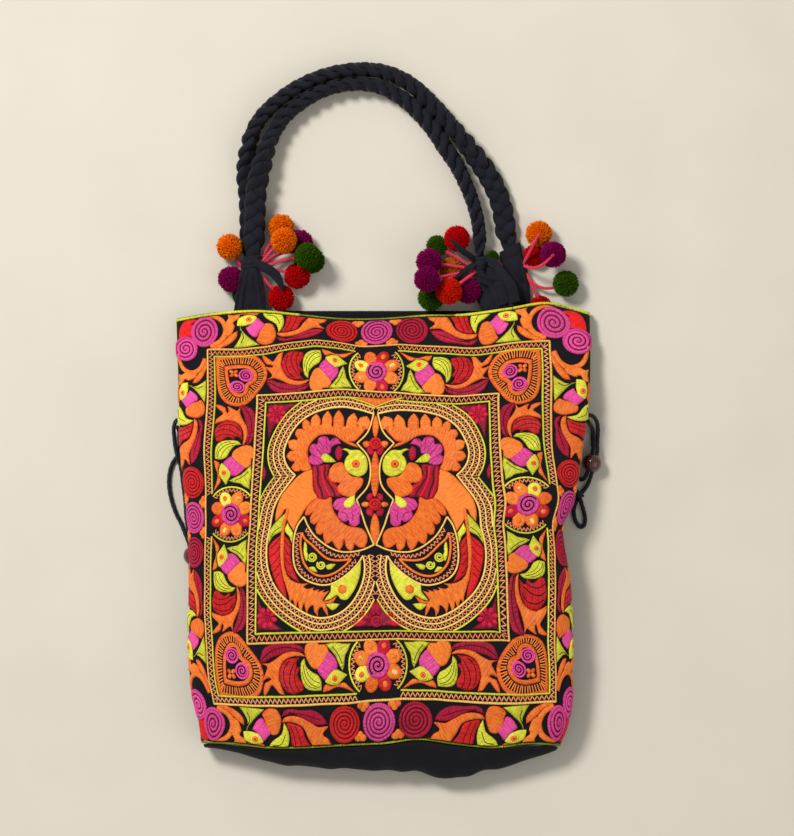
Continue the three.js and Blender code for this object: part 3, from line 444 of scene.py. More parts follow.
# A side of the bag: places across and up the flat cloth, in millimetres, and where the drape takes them
class Surface:
    rowStep = 2.0

    def __init__(self, front):
        self.front = front
        self.up = np.arange(0, panelHeight + 1, self.rowStep)
        self.across = np.linspace(-clothHalf, clothHalf, 249)
        share = np.abs(self.across) / clothHalf
        side = np.where(self.across < 0, -1, 1)
        name = "front" if front else "back"
        self.bottom = panelHeight * along(edges, side * share, name + "Bottom")
        self.top = panelHeight * along(edges, side * share, name + "Top")
        self.points = np.zeros((len(self.up), len(self.across), 3))
        for i, up in enumerate(self.up):
            at = up / panelHeight
            depth = bagDepth * along(sections, at, "depth")
            for sign, column in ((-1, "left"), (1, "right")):
                x, z = sectionArc(front, panelWidth / 2 * along(sections, at, column), depth)
                lengths = arcLengths(np.stack([x, z], axis=1))
                mine = side == sign
                reach = share[mine] * lengths[-1]
                self.points[i, mine, 0] = sign * np.interp(reach, lengths, x)
                self.points[i, mine, 2] = np.interp(reach, lengths, z)
            self.points[i, :, 1] = mix(self.bottom, self.top, at)
        wide, long = np.gradient(self.points, axis=1), np.gradient(self.points, axis=0)
        self.normals = unit(np.cross(wide, long)) * (1 if front else -1)
        self.puff = np.zeros(self.points.shape[:2])

    def lookUp(self, grid, across, up):
        a = np.clip((np.asarray(across) + clothHalf) / (2 * clothHalf), 0, 1) * (len(self.across) - 1)
        u = np.clip(np.asarray(up) / self.rowStep, 0, len(self.up) - 1)
        i, j = np.minimum(u.astype(int), len(self.up) - 2), np.minimum(a.astype(int), len(self.across) - 2)
        u, a = u - i, a - j
        if grid.ndim == 3:
            u, a = u[..., None], a[..., None]
        low = grid[i, j] * (1 - a) + grid[i, j + 1] * a
        high = grid[i + 1, j] * (1 - a) + grid[i + 1, j + 1] * a
        return low * (1 - u) + high * u

    def place(self, across, up, out=0.0):
        across, up = np.broadcast_arrays(np.asarray(across, float), np.asarray(up, float))
        point = self.lookUp(self.points, across, up)
        normal = self.lookUp(self.normals, across, up)
        lift = self.lookUp(self.puff, across, up) + out
        point = point + normal * np.asarray(lift)[..., None]
        past = np.clip(up, 0, panelHeight)
        bottom = np.interp(across, self.across, self.bottom)
        top = np.interp(across, self.across, self.top)
        point[..., 1] += (up - past) / panelHeight * (top - bottom)
        point[..., 2] -= (1 if self.front else -1) * np.maximum(np.abs(across) - clothHalf, 0)
        return point

    def upAt(self, across, y):
        bottom = np.interp(across, self.across, self.bottom)
        top = np.interp(across, self.across, self.top)
        return (y - bottom) / (top - bottom) * panelHeight

    def acrossAt(self, x, up):
        row = self.lookUp(self.points, self.across, np.full(len(self.across), up))[:, 0]
        return float(np.interp(x, row, self.across))

    def outward(self, across, up):
        side = np.stack([np.sign(across), 0 * across, 0 * across], axis=-1)
        return np.where((np.abs(across) >= clothHalf)[..., None], side, self.lookUp(self.normals, across, up))


def softNoise(shape, size, seed):
    field = np.random.default_rng(seed).standard_normal(shape)
    rows, columns = np.fft.fftfreq(shape[0])[:, None], np.fft.fftfreq(shape[1])[None, :]
    field = np.fft.ifft2(np.fft.fft2(field) * np.exp(-2 * (math.pi * size) ** 2 * (rows ** 2 + columns ** 2))).real
    return field / field.std()


frontSurface = Surface(True)
backSurface = Surface(False)

# Gentle hollows and puckers, none at the seams
puffShape = frontSurface.puff.shape
edgeFade = (np.clip((clothHalf - np.abs(frontSurface.across)) / 25, 0, 1)[None, :]
            * np.clip(frontSurface.up / 20, 0, 1)[:, None]
            * np.clip((panelHeight - frontSurface.up) / 20, 0, 1)[:, None])
frontSurface.puff = edgeFade * (0.7 * softNoise(puffShape, 7, 3) + 0.35 * softNoise(puffShape, 3, 4) - 0.4)
backSurface.puff = edgeFade * 0.25 * (softNoise(puffShape, 9, 5) - 2.5)
print("surfaces ready")


clothSkin = clothWall * 0.9  # the wall as it shows, a little inside its solid


def clothPanel(surface, topInset, step, sign):
    ups = np.linspace(edgeInset, panelHeight - topInset, int(panelHeight / step))
    acrosses = np.linspace(-clothHalf, clothHalf, int(2 * clothHalf / step))
    across, up = np.meshgrid(acrosses, ups)
    outer, inner = surface.place(across, up), surface.place(across, up, -clothSkin)
    return sheetBetween(outer, inner, across, up, sign)


# A closed wall between two grids of places
def sheetBetween(outer, inner, across, up, sign=1):
    rows, columns = across.shape
    count = rows * columns
    points = np.vstack([outer.reshape(-1, 3), inner.reshape(-1, 3)])
    index = np.arange(count).reshape(rows, columns)
    a, b, c, d = index[:-1, :-1], index[:-1, 1:], index[1:, 1:], index[1:, :-1]
    top = np.stack([a, b, c, d], -1).reshape(-1, 4)
    under = np.stack([a, d, c, b], -1).reshape(-1, 4) + count
    ring = np.concatenate([index[0, :], index[1:, -1], index[-1, -2::-1], index[-2:0:-1, 0]])
    after = np.roll(ring, -1)
    rim = np.stack([ring, ring + count, after + count, after], -1)
    faces = np.vstack([top, under, rim])
    if sign < 0:
        faces = faces[:, ::-1]
    uv = np.stack([across.ravel(), up.ravel()], -1)
    return points, faces, np.vstack([uv, uv])


blackCloth = clothMaterial("blackCloth", "07070b", "1b1a24")
groundCloth = clothMaterial("groundCloth", "07060a", "1a1720", thread=0.5)
points, faces, uv = clothPanel(frontSurface, mouthInset, 3.1, 1)
frontCloth = makePiece("frontPanel", points, faces, groundCloth, uv, nodes=["front_panel"])
points, faces, uv = clothPanel(backSurface, 0, 4.4, -1)
backCloth = makePiece("backPanel", points, faces, blackCloth, uv, nodes=["back_panel"])

# The boat-shaped base: rows from the front's bottom edge to the back's
baseRows, baseColumns = 24, 150
baseShare = np.linspace(0, 1, baseRows)[:, None]
baseAcross = np.linspace(-1, 1, baseColumns)[None, :] * clothHalf * 0.97
frontEdge, backEdge = [surface.place(baseAcross[0], np.full(baseColumns, -seamGap / 2))
                       for surface in (frontSurface, backSurface)]
reach = baseOverhang * along(edges, baseAcross[0] / clothHalf, "over")
bulge = np.maximum(reach - (frontEdge[:, 1] - backEdge[:, 1]) / 2, pipingDiameter)
base = frontEdge[None] * (1 - baseShare[..., None]) + backEdge[None] * baseShare[..., None]
sag = 1 + 0.05 * softNoise(base.shape[:2], 3, 8)
base[..., 1] -= bulge[None, :] * np.sin(baseShare * math.pi) * sag
base[..., 2] = mix(frontEdge[None, :, 2], backEdge[None, :, 2], (1 - np.cos(baseShare * math.pi)) / 2)
baseNormal = unit(np.cross(np.gradient(base, axis=1), np.gradient(base, axis=0)))
points, faces, uv = sheetBetween(base, base + baseNormal * clothSkin,
                                 *np.broadcast_arrays(baseAcross, baseShare * 40), -1)
makePiece("basePanel", points, faces, blackCloth, uv, nodes=["base_panel"])
print("cloth made")

# Piping: satin stitch over a cord
pipingOut = seamGap + pipingDiameter / 2
pipingLook = {"stops": 5.0, "step": 1.3, "sides": 12}


def pipingPath(topInset, full):
    low, high = edgeInset, panelHeight - topInset
    diagonal = pipingOut * math.sqrt(0.5)
    gap = pipingLook["stops"]
    rises = np.arange(low + gap, high - gap + 1, gap)
    inner = np.arange(-clothHalf + gap, clothHalf - gap + 1, gap)

    def corner(sign, height, below):
        return [(sign * (clothHalf + pipingOut), height), (sign * (clothHalf + diagonal), height + below * diagonal),
                (sign * clothHalf, height + below * pipingOut)]

    stops = [(-clothHalf - pipingOut, u) for u in rises[::-1]] + corner(-1, low, -1)
    stops += [(a, low - pipingOut) for a in inner] + corner(1, low, -1)[::-1]
    stops += [(clothHalf + pipingOut, u) for u in rises]
    if full:
        stops += corner(1, high, 1) + [(a, high + pipingOut) for a in inner[::-1]] + corner(-1, high, 1)[::-1]
    else:
        stops = [(-clothHalf - pipingOut, high)] + stops + [(clothHalf + pipingOut, high)]
    return np.array(stops, float)


limeThread = threadMaterial("limeThread", "6c7608", "eae632", gap=1.5)
for name, surface, inset, full, sunk in (("pipingFront", frontSurface, mouthInset, True, clothWall / 2),
                                         ("pipingBack", backSurface, 0, False, pipingDiameter / 2)):
    stops = pipingPath(inset, full)
    centre = surface.place(stops[:, 0], stops[:, 1]) - surface.outward(stops[:, 0], stops[:, 1]) * sunk
    path, _ = smoothPath(centre, 4, closed=full)
    if not full:
        path, _ = resample(path, pipingLook["step"])
    # darker at the middle of the mouth as painted shade, darker at the bottom too, and thinner at both; a soft random
    # tone runs along it all
    middle = (path[:, 1] > 160) & (path[:, 0] > -72) & (path[:, 0] < 64)
    pipingShadeAndTone = softNoise((len(path), 1), 8, 6)[:, 0] * 0.2 - 1.0 * (middle | (path[:, 1] < -165))
    thin = (0.82 + 0.2 * np.clip(pipingShadeAndTone, -1, 0.5) - 0.12 * middle) * pipingDiameter / 2
    points, faces, uv = loft(tubeRings(path, thin, pipingLook["sides"], closed=full), closed=full, capped=not full)
    tone = np.repeat(1.3 * pipingShadeAndTone + 0.3, pipingLook["sides"])
    tone = np.concatenate([tone, np.zeros(len(points) - len(tone))])
    makePiece(name, points, faces, limeThread, uv, tone, ["piping_front" if full else "piping_back"])
print("piping made")

# Braids

handleSpan, handleRise, tieHeight, tieOffset = 199.5, 169, 42.9, -14
braidWidth, braidThickness, braidPitch = 19.5, 10.8, 12.6
neckWidth, neckThickness, tieLength = 12, 5.4, 10
braidLook = {"step": 1.7, "sides": 18, "halfWide": 0.27, "halfDeep": 0.28, "weave": 0.27, "square": 0.85,
             "loose": [(0.27, 0.7, 0.13), (0.13, 0.28, 0.1)]}  # how much deeper, where along, over how much
groupX = tieOffset - handleSpan / 2
groupY = edges["backTop"][5] * panelHeight + tieHeight
# Places in the handles' own span and rise, how far the band is turned on edge, and whether it lies on top
frontRoute = [
    (0, 0, 0, 1), (0.009, 0.119, 0, 1), (0.013, 0.254, 0, 1), (0.018, 0.363, 0.05, 1), (0.034, 0.461, 0.3, 0.9),
    (0.06, 0.57, 0.7, 0.5), (0.094, 0.668, 1, 0.1), (0.146, 0.758, 1, 0), (0.226, 0.833, 1, 0), (0.3, 0.882, 1, 0),
    (0.39, 0.914, 1, 0), (0.482, 0.922, 1, 0), (0.57, 0.903, 1, 0), (0.662, 0.845, 1, 0), (0.737, 0.767, 1, 0),
    (0.798, 0.684, 1, 0), (0.845, 0.596, 1, 0), (0.895, 0.508, 1, 0), (0.93, 0.425, 1, 0), (0.961, 0.337, 1, 0),
    (0.988, 0.228, 1, 0), (0.998, 0.14, 1, 0), (1, 0.06, 1, 0), (1, 0, 1, 0),
]
backRoute = [
    (-0.009, -0.01, 0, 0), (-0.009, 0.119, 0, 0), (-0.013, 0.326, 0, 0), (-0.024, 0.456, 0.2, 0),
    (-0.013, 0.606, 0.75, 0), (0.009, 0.694, 1, 0), (0.057, 0.775, 1, 0), (0.127, 0.85, 1, 0), (0.202, 0.91, 1, 0),
    (0.285, 0.956, 1, 0), (0.377, 0.987, 1, 0), (0.491, 1, 1, 0), (0.588, 0.984, 1, 0), (0.675, 0.938, 1, 0),
    (0.737, 0.881, 1, 0), (0.789, 0.819, 1, 0), (0.864, 0.72, 1, 0), (0.925, 0.632, 0.8, 0), (0.978, 0.549, 0.5, 0),
    (1.031, 0.461, 0.2, 0), (1.075, 0.363, 0, 0), (1.099, 0.275, 0, 0), (1.114, 0.166, 0, 0), (1.136, 0.047, 0, 0),
]


def bandFrames(onward, turn):
    level = unit(np.cross(onward, (0, 0, 1.0)))
    raised = unit(np.cross(level, onward))
    angle = (-np.asarray(turn) * math.pi / 2)[..., None]
    wide = level * np.cos(angle) + raised * np.sin(angle)
    return wide, unit(-np.cross(wide, onward))


def routeLine(rows):
    rows = np.array(rows, float)
    angle = rows[:, 2] * math.pi / 2
    z = (braidWidth * np.sin(angle) + braidThickness * np.cos(angle)) / 2 + seamGap
    z += rows[:, 3] * (braidThickness + 2 * seamGap)
    places = np.stack([groupX + rows[:, 0] * handleSpan, groupY + rows[:, 1] * handleRise, z], axis=1)
    path, at = smoothPath(places, 24)
    return resample(path, braidLook["step"], np.interp(at, np.arange(len(rows)), rows[:, 2]))


braidCloth = clothMaterial("braidCloth", "06060d", "1f2030", roughness=0.7, thread=0.5, wear=0.6)
handleEnds = {}
for name, rows, node in (("handleFront", frontRoute, "handle_front"), ("handleBack", backRoute, "handle_back")):
    centre, at, turn = routeLine(rows)
    onward = tangentsOf(centre)
    wide, thick = bandFrames(onward, turn)
    fromEnd = np.minimum(at, at[-1] - at)
    opened = np.clip((fromEnd - tieLength * 0.6) / braidPitch, 0, 1)
    width, depth = mix(neckWidth, braidWidth, opened), mix(neckThickness, braidThickness, opened)
    share = at / at[-1]
    depth = depth * (1.06 + sum(more * np.exp(-((share - near) / over) ** 2)
                                for more, near, over in braidLook["loose"]))
    parts = []
    for strand in range(3):
        phase = at / (3 * braidPitch) * 2 * math.pi + strand * 2 * math.pi / 3 + 0.4
        halfWide, halfDeep = width * braidLook["halfWide"], depth * braidLook["halfDeep"]
        line = (centre + wide * ((width / 2 - halfWide) * np.sin(phase))[:, None]
                + thick * (depth * braidLook["weave"] * np.sin(2 * phase))[:, None])
        heading = tangentsOf(line)
        top = unit(thick - heading * np.sum(thick * heading, axis=1, keepdims=True))
        side = np.cross(heading, top)
        around = np.linspace(0, 2 * math.pi, braidLook["sides"], endpoint=False)
        sine, cosine = np.sin(around), np.cos(around)
        crease = (1 - 0.1 * np.exp(-((cosine - 0.25) / 0.18) ** 2)
                  - 0.07 * np.exp(-((cosine + 0.4) / 0.15) ** 2))
        across = np.sign(cosine) * np.abs(cosine) ** braidLook["square"]
        over = np.sign(sine) * np.abs(sine) ** braidLook["square"] * crease
        rings = (line[:, None] + side[:, None] * (halfWide[:, None] * across)[..., None]
                 + top[:, None] * (halfDeep[:, None] * over)[..., None])
        parts.append(loft(rings))
    points, faces, uv = joined(parts)
    makePiece(name, points, faces, braidCloth, uv, nodes=[node])
    key = "front" if node == "handle_front" else "back"
    rows = np.array(rows, float)
    handleEnds[key, "first"] = {"centre": centre[0], "onward": onward[0], "turn": rows[0, 2]}
    handleEnds[key, "last"] = {"centre": centre[-1], "onward": -onward[-1], "turn": rows[-1, 2]}
print("braids made")

# Tabs, ties, strings and pompoms, a bunch at the foot of each braid. A pompom's row has its wool, its place in
# pompoms' widths from the foot of the front handle on that side, and its shape and how its string runs.
# Tails and rolls are in ties' lengths from the foot, folds are near, far, height and breadth.
pompomDiameter, tabReach, tieWall = 22, 15, 2.4
stringPlace = -tieLength / 2 - seamGap - 2.2
tabCloth = clothMaterial("tabCloth", "07070d", "232231", roughness=0.75, thread=0.5, wear=0.7)
stringThread = threadMaterial("stringThread", "b01032", "fc4664", gap=1.1, roughness=0.5)
# amber is the orange wool made darker and browner: painted shade for the pompom lying lowest, under the strings
woolLooks = {
    "orange": ("b43400", "fc7e06"), "amber": ("7a2c02", "d8741a"), "purple": ("480024", "900656"),
    "green": ("102200", "3c6004"), "red": ("800005", "d4040c"), "scarlet": ("9c0602", "ec260c"),
}
wools = {name: threadMaterial(name + "Wool", dark, bright, gap=0.9, roughness=1.0, sheen=0.0, shine=0.06)
         for name, (dark, bright) in woolLooks.items()}
bunches = {
    "left_front": {
        "panel": frontSurface, "end": ("front", "first"), "corner": ("front", "first"), "across": -0.008, "wide": 1,
        "spread": [6, 6.8, 9.6, 12, 14.5],
        "folds": [(-0.35, -0.72, 3, 0.11), (0, -0.3, 1.4, 0.1), (0.4, 0.84, 2.2, 0.1)],
        "tails": [[(0.3, -0.1, 0.45), (1.3, -0.62, 0.68), (2.1, -1.22, 0.66), (2.54, -2.1, 0.72),
                   (2.63, -2.55, 0.66)]],
        "pompoms": [
            ("orange", 1.154, 1.38, 0.5, {"from": 0.6, "swing": -0.1}),
            ("orange", 1.273, 0.83, 1.34, {"from": 0.6, "swing": -0.2}),
            ("purple", 1.9, 0.76, 0.5, {"from": 0.6, "swing": -0.2}),
            ("green", 2.188, 0.22, 1.3, {"from": 0.6, "swing": -0.2}),
            ("red", 1.79, -0.56, 0.5, {"from": 0.6, "swing": -0.2}),
            ("red", 1.154, -1.432, 0.5, {"from": 0.6}),
        ],
    },
    "left_back": {
        "panel": backSurface, "end": ("back", "first"), "corner": ("front", "first"), "across": 0.012,
        "spread": [6, 6.4, 7.5, 9, 10.1],
        "folds": [(-0.3, -0.5, 1, 0.2), (0.3, 0.5, 0.8, 0.2)],
        "tails": [],
        "pompoms": [
            ("orange", -0.9, 0.59, 0.5, {}), ("purple", -0.85, -0.69, 0.5, {}),
            ("green", -0.6, -1.273, 0.25, {"shape": (0.4, 0.75, 0.45)}),
            ("green", 2.37, 0.05, 0.5, {"swing": -1}),
        ],
    },
    "right_front": {
        "panel": frontSurface, "end": ("front", "last"), "corner": ("front", "last"), "across": 1.085, "wide": 0.66,
        "spread": [6, 6.8, 9.4, 12.6, 16],
        "folds": [(0.1, 0.85, 3.6, 0.11), (-0.1, 0.45, 2.2, 0.08), (-0.35, 0.05, 1.5, 0.08), (-0.6, -0.8, 1.8, 0.1)],
        "rolls": [([(0.3, -0.4, 0.1), (1.1, -1.4, 0.4), (1.9, -2.6, 0.6), (2.4, -3.6, 0.5)], (4, 7, 9, 10), 1.6),
                  ([(0.4, 0.3, 0.2), (1.2, -0.05, 0.5), (2, -1.1, 0.8), (2.8, -2.2, 0.95), (3.1, -3.5, 0.7)],
                   (2.6, 4, 4, 4.2), 3)],
        "tails": [[(-0.46, 0.15, 0.4), (-0.9, 0.5, 1.2), (-1.5, 0.88, 1.75), (-2.1, 1.4, 2.02), (-2.63, 2.01, 1.98)],
                  [(-0.46, -0.15, 0.5), (-0.85, -0.5, 0.95), (-1.4, -0.9, 1.12), (-2.19, -1.49, 1.15)]],
        "pompoms": [
            ("green", -1.71, 0.636, 0.41, {"shape": (0.82, 0.82, 0.82), "lift": 0.25}),
            ("red", -0.915, 0.915, 0.8, {}), ("purple", -2.029, 0, 1, {}),
            ("purple", -2.108, -0.716, 1.74, {"lift": -0.3}),
            ("green", -1.949, -1.432, 0.5, {"lift": 0.43, "swing": 0.5}),
            ("scarlet", -1.233, -1.193, 1.2, {"lift": 0.2}), ("purple", -0.477, -1.153, 0.5, {}),
            # the lowest pompom, under the strings, in the orange wool with painted shade
            ("amber", -1.114, -0.318, 0.36, {"shape": (1, 1, 0.7)}),
        ],
    },
    "right_back": {
        "panel": backSurface, "end": ("back", "last"), "corner": ("front", "last"), "across": 1.155, "low": 5,
        "spread": [9.6, 10, 11, 12.6, 14],
        "folds": [(0.25, 0.2, 1.2, 0.05), (0.7, 0.85, 1.4, 0.1), (-0.6, -0.4, 1.6, 0.1)],
        "tails": [],
        "pompoms": [
            ("green", 0.5, 0.2, 0.4, {"shape": (0.5, 0.5, 0.7)}),
            ("orange", 2.347, 1.114, 0.5, {"from": 0.2, "lift": 0.42, "over": 0.75}),
            ("red", 2.18, 0.25, 0.32, {"shape": (0.85, 0.85, 0.6)}),
            ("purple", 2.904, 0.278, 1.08, {"swing": 0.6, "over": 0.9}),
            ("green", 3.421, -0.875, 0.5, {"swing": 1}),
            ("red", 2.42, -1.73, 0.33, {"shape": (0.8, 0.75, 0.32)}),
        ],
    },
}


# A soft strip: rings of a flattened round, with folds raised on its upper side
def strip(path, wide, thick, halfWidth, halfThick, folds=(), sides=56):
    turn = np.linspace(0, 2 * math.pi, sides, endpoint=False)
    x = np.sign(np.cos(turn)) * np.abs(np.cos(turn)) ** 0.7
    z = np.sign(np.sin(turn)) * np.abs(np.sin(turn)) ** 0.7
    share = np.linspace(0, 1, len(path))
    rise = np.zeros((len(path), sides))
    for near, far, height, broad in folds:
        place = mix(near, far, share)[:, None]
        strength = (np.sin(np.clip(share * 1.25, 0, 1) * math.pi / 2) ** 0.6)[:, None]
        ridge = np.exp(-((x[None] + place) / broad) ** 2)
        furrow = 0.55 * np.exp(-((x[None] + place - 1.7 * broad) / broad) ** 2)
        rise -= height * strength * (ridge - furrow) * (z[None] < 0.2)
    return (path[:, None] + wide[:, None] * (halfWidth[:, None] * x[None])[..., None]
            + thick[:, None] * (halfThick[:, None] * z[None] + rise)[..., None])


def bunchTab(name, bunch, end):
    sign = 1 if bunch["panel"] is frontSurface else -1
    x = groupX + bunch["across"] * handleSpan
    stops = [end["centre"] - end["onward"] * d for d in (-2.5, 4.5, 9, 13.6)]
    for depth in (0, tabReach):
        up = panelHeight - depth
        point = bunch["panel"].place(bunch["panel"].acrossAt(x, up), up)
        point[2] -= sign * 4.4
        stops.append(point)
    path, _ = smoothPath(stops, 16)
    path, at = resample(path, 1.1)
    flattened = np.clip((at - 10) / (at[-1] - 30), 0, 1)
    wide, thick = bandFrames(tangentsOf(path), end["turn"] * (1 - np.sin(flattened * math.pi / 2)))
    halfWidth = np.interp(at, [0, 8, 14, 24, at[-1] - 14], bunch["spread"])
    halfThick = np.interp(at, [0, 8, 14, 30, at[-1] - 10], [2.6, 3.4, 3.9, 2.6, 1.4])
    rings = strip(path, wide, thick, halfWidth, halfThick, bunch["folds"])
    rings += 0.22 * softNoise(rings.shape[:2], 2.5, 40)[..., None] * thick[:, None]
    parts = [loft(rings)]
    for rows, broad, deep in bunch.get("rolls", []):
        path, _ = smoothPath(end["centre"] + np.array(rows) * tieLength, 14)
        path, at = resample(path, 1.1)
        wide, thick = bandFrames(tangentsOf(path), 0)
        broad = np.interp(at / at[-1], [0, 0.3, 0.7, 1], broad)
        roll = strip(path, wide, thick, broad, np.full(len(path), deep), [(0.3, -0.2, 0.9, 0.2)], 40)
        parts.append(loft(roll))
    points, faces, uv = joined(parts)
    makePiece("tab_" + name, points, faces, tabCloth, uv, nodes=["tab_" + name])


def bunchTie(name, bunch, end, wide, thick):
    turn = np.linspace(0, 2 * math.pi, 48, endpoint=False)
    x = np.sign(np.cos(turn)) * np.abs(np.cos(turn)) ** 0.75
    z = np.sign(np.sin(turn)) * np.abs(np.sin(turn)) ** 0.75
    flat = bunch["spread"][0] > 8  # a wide collar, with no turns of the tie showing
    places = np.linspace(-1, 1, 25)
    lump = 1 - places ** 6
    wraps = 0 if flat else 0.5 * np.abs(np.cos(places * math.pi))
    out = 0.2 + (1 - places ** 2) * tieWall * 0.4 if flat else 0.3 + lump * tieWall * (0.75 + wraps)
    rings = []
    slant = 2.6 if flat else 1.6
    for place, swell in zip(places, out):
        centre = end["centre"] + end["onward"] * (place * (tieLength / 2 + 0.6) - 0.4)
        ring = (centre + end["onward"] * (slant * x)[:, None]
                + wide * (x * (bunch["spread"][0] + swell * (0.5 if flat else 1)))[:, None]
                + thick * (z * (neckThickness / 2 + swell))[:, None])
        rings.append(ring)
    parts = [loft(rings)]
    for k, rows in enumerate(bunch["tails"]):
        path, _ = smoothPath(end["centre"] + np.array(rows) * tieLength, 14)
        path, at = resample(path, 0.9)
        share = at / at[-1]
        wideWays, thickWays = bandFrames(tangentsOf(path), 0.25 * np.sin(share * 5 + k))
        broad = np.interp(share, [0, 0.25, 0.6, 0.85, 1], np.array([3.2, 4.5, 4.2, 2.6, 1.0]) * bunch["wide"])
        deep = np.interp(share, [0, 0.3, 1], [1.7, 1.3, 0.7])
        rings = strip(path, wideWays, thickWays, broad, deep, [(-0.3, 0.1, 0.8, 0.3)], 24)
        parts.append(loft(rings))
    points, faces, uv = joined(parts)
    makePiece("tie_" + name, points, faces, tabCloth, uv, nodes=["tie_" + name])


def pompomCentre(row, corner):
    return np.array([*corner[:2], 0]) + np.array(row[1:4]) * pompomDiameter


def bunchStrings(name, bunch, end, corner, wide, thick):
    parts = []
    for row in bunch["pompoms"]:
        looks = row[4]
        target = pompomCentre(row, corner)
        heading = target - end["centre"]
        turn = math.atan2(heading @ thick, heading @ wide) + looks.get("from", 0)
        x, z = np.clip([1.15 * math.cos(turn), 1.15 * math.sin(turn)], -1, 1)
        start = (end["centre"] + end["onward"] * (stringPlace - bunch.get("low", 0))
                 + wide * x * bunch["spread"][0] * 0.84 + thick * z * neckThickness * 0.4)
        bend = (start + target) / 2
        bend[2] += looks.get("lift", 0) * pompomDiameter
        bend += unit(np.cross(heading, (0, 0, 1.0))) * looks.get("swing", 0) * pompomDiameter
        stop = target + unit(bend - target) * pompomDiameter * 0.22
        if "over" in looks:
            bend[2] += 14
            stop = target + np.array([0, 0, pompomDiameter / 2 * looks["over"]])
        t = np.linspace(0, 1, 40)[:, None]
        line, at = resample(start * (1 - t) ** 2 + 2 * bend * t * (1 - t) + stop * t * t, 0.8)
        across, raised = bandFrames(tangentsOf(line), 0)
        for ply in (0, math.pi):
            angle = at * 2 * math.pi / 5.2 + ply
            strand = line + 0.64 * (across * np.cos(angle)[:, None] + raised * np.sin(angle)[:, None])
            parts.append(loft(tubeRings(strand, 0.92, 8)))
    points, faces, uv = joined(parts)
    uv = uv[:, ::-1] + uv
    makePiece("strings_" + name, points, faces, stringThread, uv, nodes=["strings_" + name])


# A ball of wool: a heart painted dark as shade, and tufts standing out from it all round, with painted shade at their
# feet and painted highlight at their tips
pompomLook = {"tufts": 1200, "radius": pompomDiameter * 0.525, "heart": 0.82, "uneven": 0.045, "lean": 0.55}


def pompomPiece(name, row, corner):
    tufts, radius = pompomLook["tufts"], pompomLook["radius"]
    shape = np.array(row[4].get("shape", (1, 1, 1)), float)
    k = np.arange(tufts) + 0.5
    tilt, turn = np.arccos(1 - 2 * k / tufts), k * math.pi * (1 + math.sqrt(5))
    way = np.stack([np.cos(turn) * np.sin(tilt), np.sin(turn) * np.sin(tilt), np.cos(tilt)], axis=1)
    way = unit(way + rng.normal(0, 0.05, way.shape))
    tall = radius * (0.985 + pompomLook["uneven"] * rng.standard_normal(tufts).clip(-2, 2))
    side = unit(np.cross(way, unit(rng.standard_normal(way.shape))))
    other = np.cross(way, side)
    lean = pompomLook["lean"]
    tip = way * tall[:, None] + (side * rng.normal(0, lean, (tufts, 1)) + other * rng.normal(0, lean, (tufts, 1)))
    rings = []
    for reach, thick in ((0.8, 0.52), (0.97, 0.4)):
        spine = mix(way * radius * 0.62, tip, (reach - 0.62) / 0.38)
        rings.append([spine + (side * math.cos(a) + other * math.sin(a)) * thick for a in (0.3, 2.394, 4.489)])
    points = np.concatenate([np.array(rings).reshape(6, tufts, 3), (tip * 1.005)[None]]).transpose(1, 0, 2)
    sides, tops = [[0, 1, 4, 3], [1, 2, 5, 4], [2, 0, 3, 5]], [[3, 4, 6], [4, 5, 6], [5, 3, 6]]
    start = np.arange(tufts)[:, None, None] * 7
    quads = (np.array(sides)[None] + start).reshape(-1, 4).tolist()
    points = points.reshape(-1, 3)
    # painted shade at the foot of each tuft and painted highlight at its tip, with a random tone for each tuft
    tone = (np.tile([-0.5] * 3 + [0.45] * 3 + [0.8], tufts) + np.repeat(rng.normal(0, 0.3, tufts), 7))
    uv = np.stack([np.repeat(rng.uniform(0, 60, tufts), 7) + np.tile([0, 0.3, 0.6] * 2 + [0.3], tufts),
                   np.repeat(rng.uniform(0, 60, tufts), 7) + np.tile([0] * 3 + [3] * 3 + [5], tufts)], axis=1)
    heart = radius * pompomLook["heart"]
    circling = np.linspace(0, 2 * math.pi, 20, endpoint=False)
    heartRings = [[(heart * math.sin(a) * math.cos(b), heart * math.sin(a) * math.sin(b), -heart * math.cos(a))
                   for b in circling] for a in np.linspace(0, math.pi, 14)[1:-1]]
    heartPoints, heartFaces, heartUv = loft(heartRings)
    faces = quads + (np.array(tops)[None] + start).reshape(-1, 3).tolist()
    faces += [[i + len(points) for i in face] for face in heartFaces]
    # the heart painted dark: painted shade inside the ball
    tone = np.concatenate([tone, np.full(len(heartPoints), -0.9)])
    points = np.vstack([points, heartPoints]) * shape
    points += pompomCentre(row, corner)
    points[:, 2] = np.maximum(points[:, 2], 0.2)
    makePiece(name, points, faces, wools[row[0]], np.vstack([uv, heartUv]), tone, [name])


for name, bunch in bunches.items():
    end, corner = handleEnds[bunch["end"]], handleEnds[bunch["corner"]]["centre"]
    wide, thick = bandFrames(end["onward"], end["turn"])
    bunchTab(name, bunch, end)
    bunchTie(name, bunch, end, wide, thick)
    bunchStrings(name, bunch, end, corner, wide, thick)
    for n, row in enumerate(bunch["pompoms"], 1):
        pompomPiece(f"pompom_{name}_{n}", row, corner)
    print("bunch made", name)

# Embroidery, drawn on the flat cloth in millimetres: s across from the middle, t up from the middle.
# The drape moves it sideways by drift and up or down by ripple, and lie says where each height comes to.
# seenRows says where the frames' upright lines and the middle come at each t. rippleRows has its own columns.

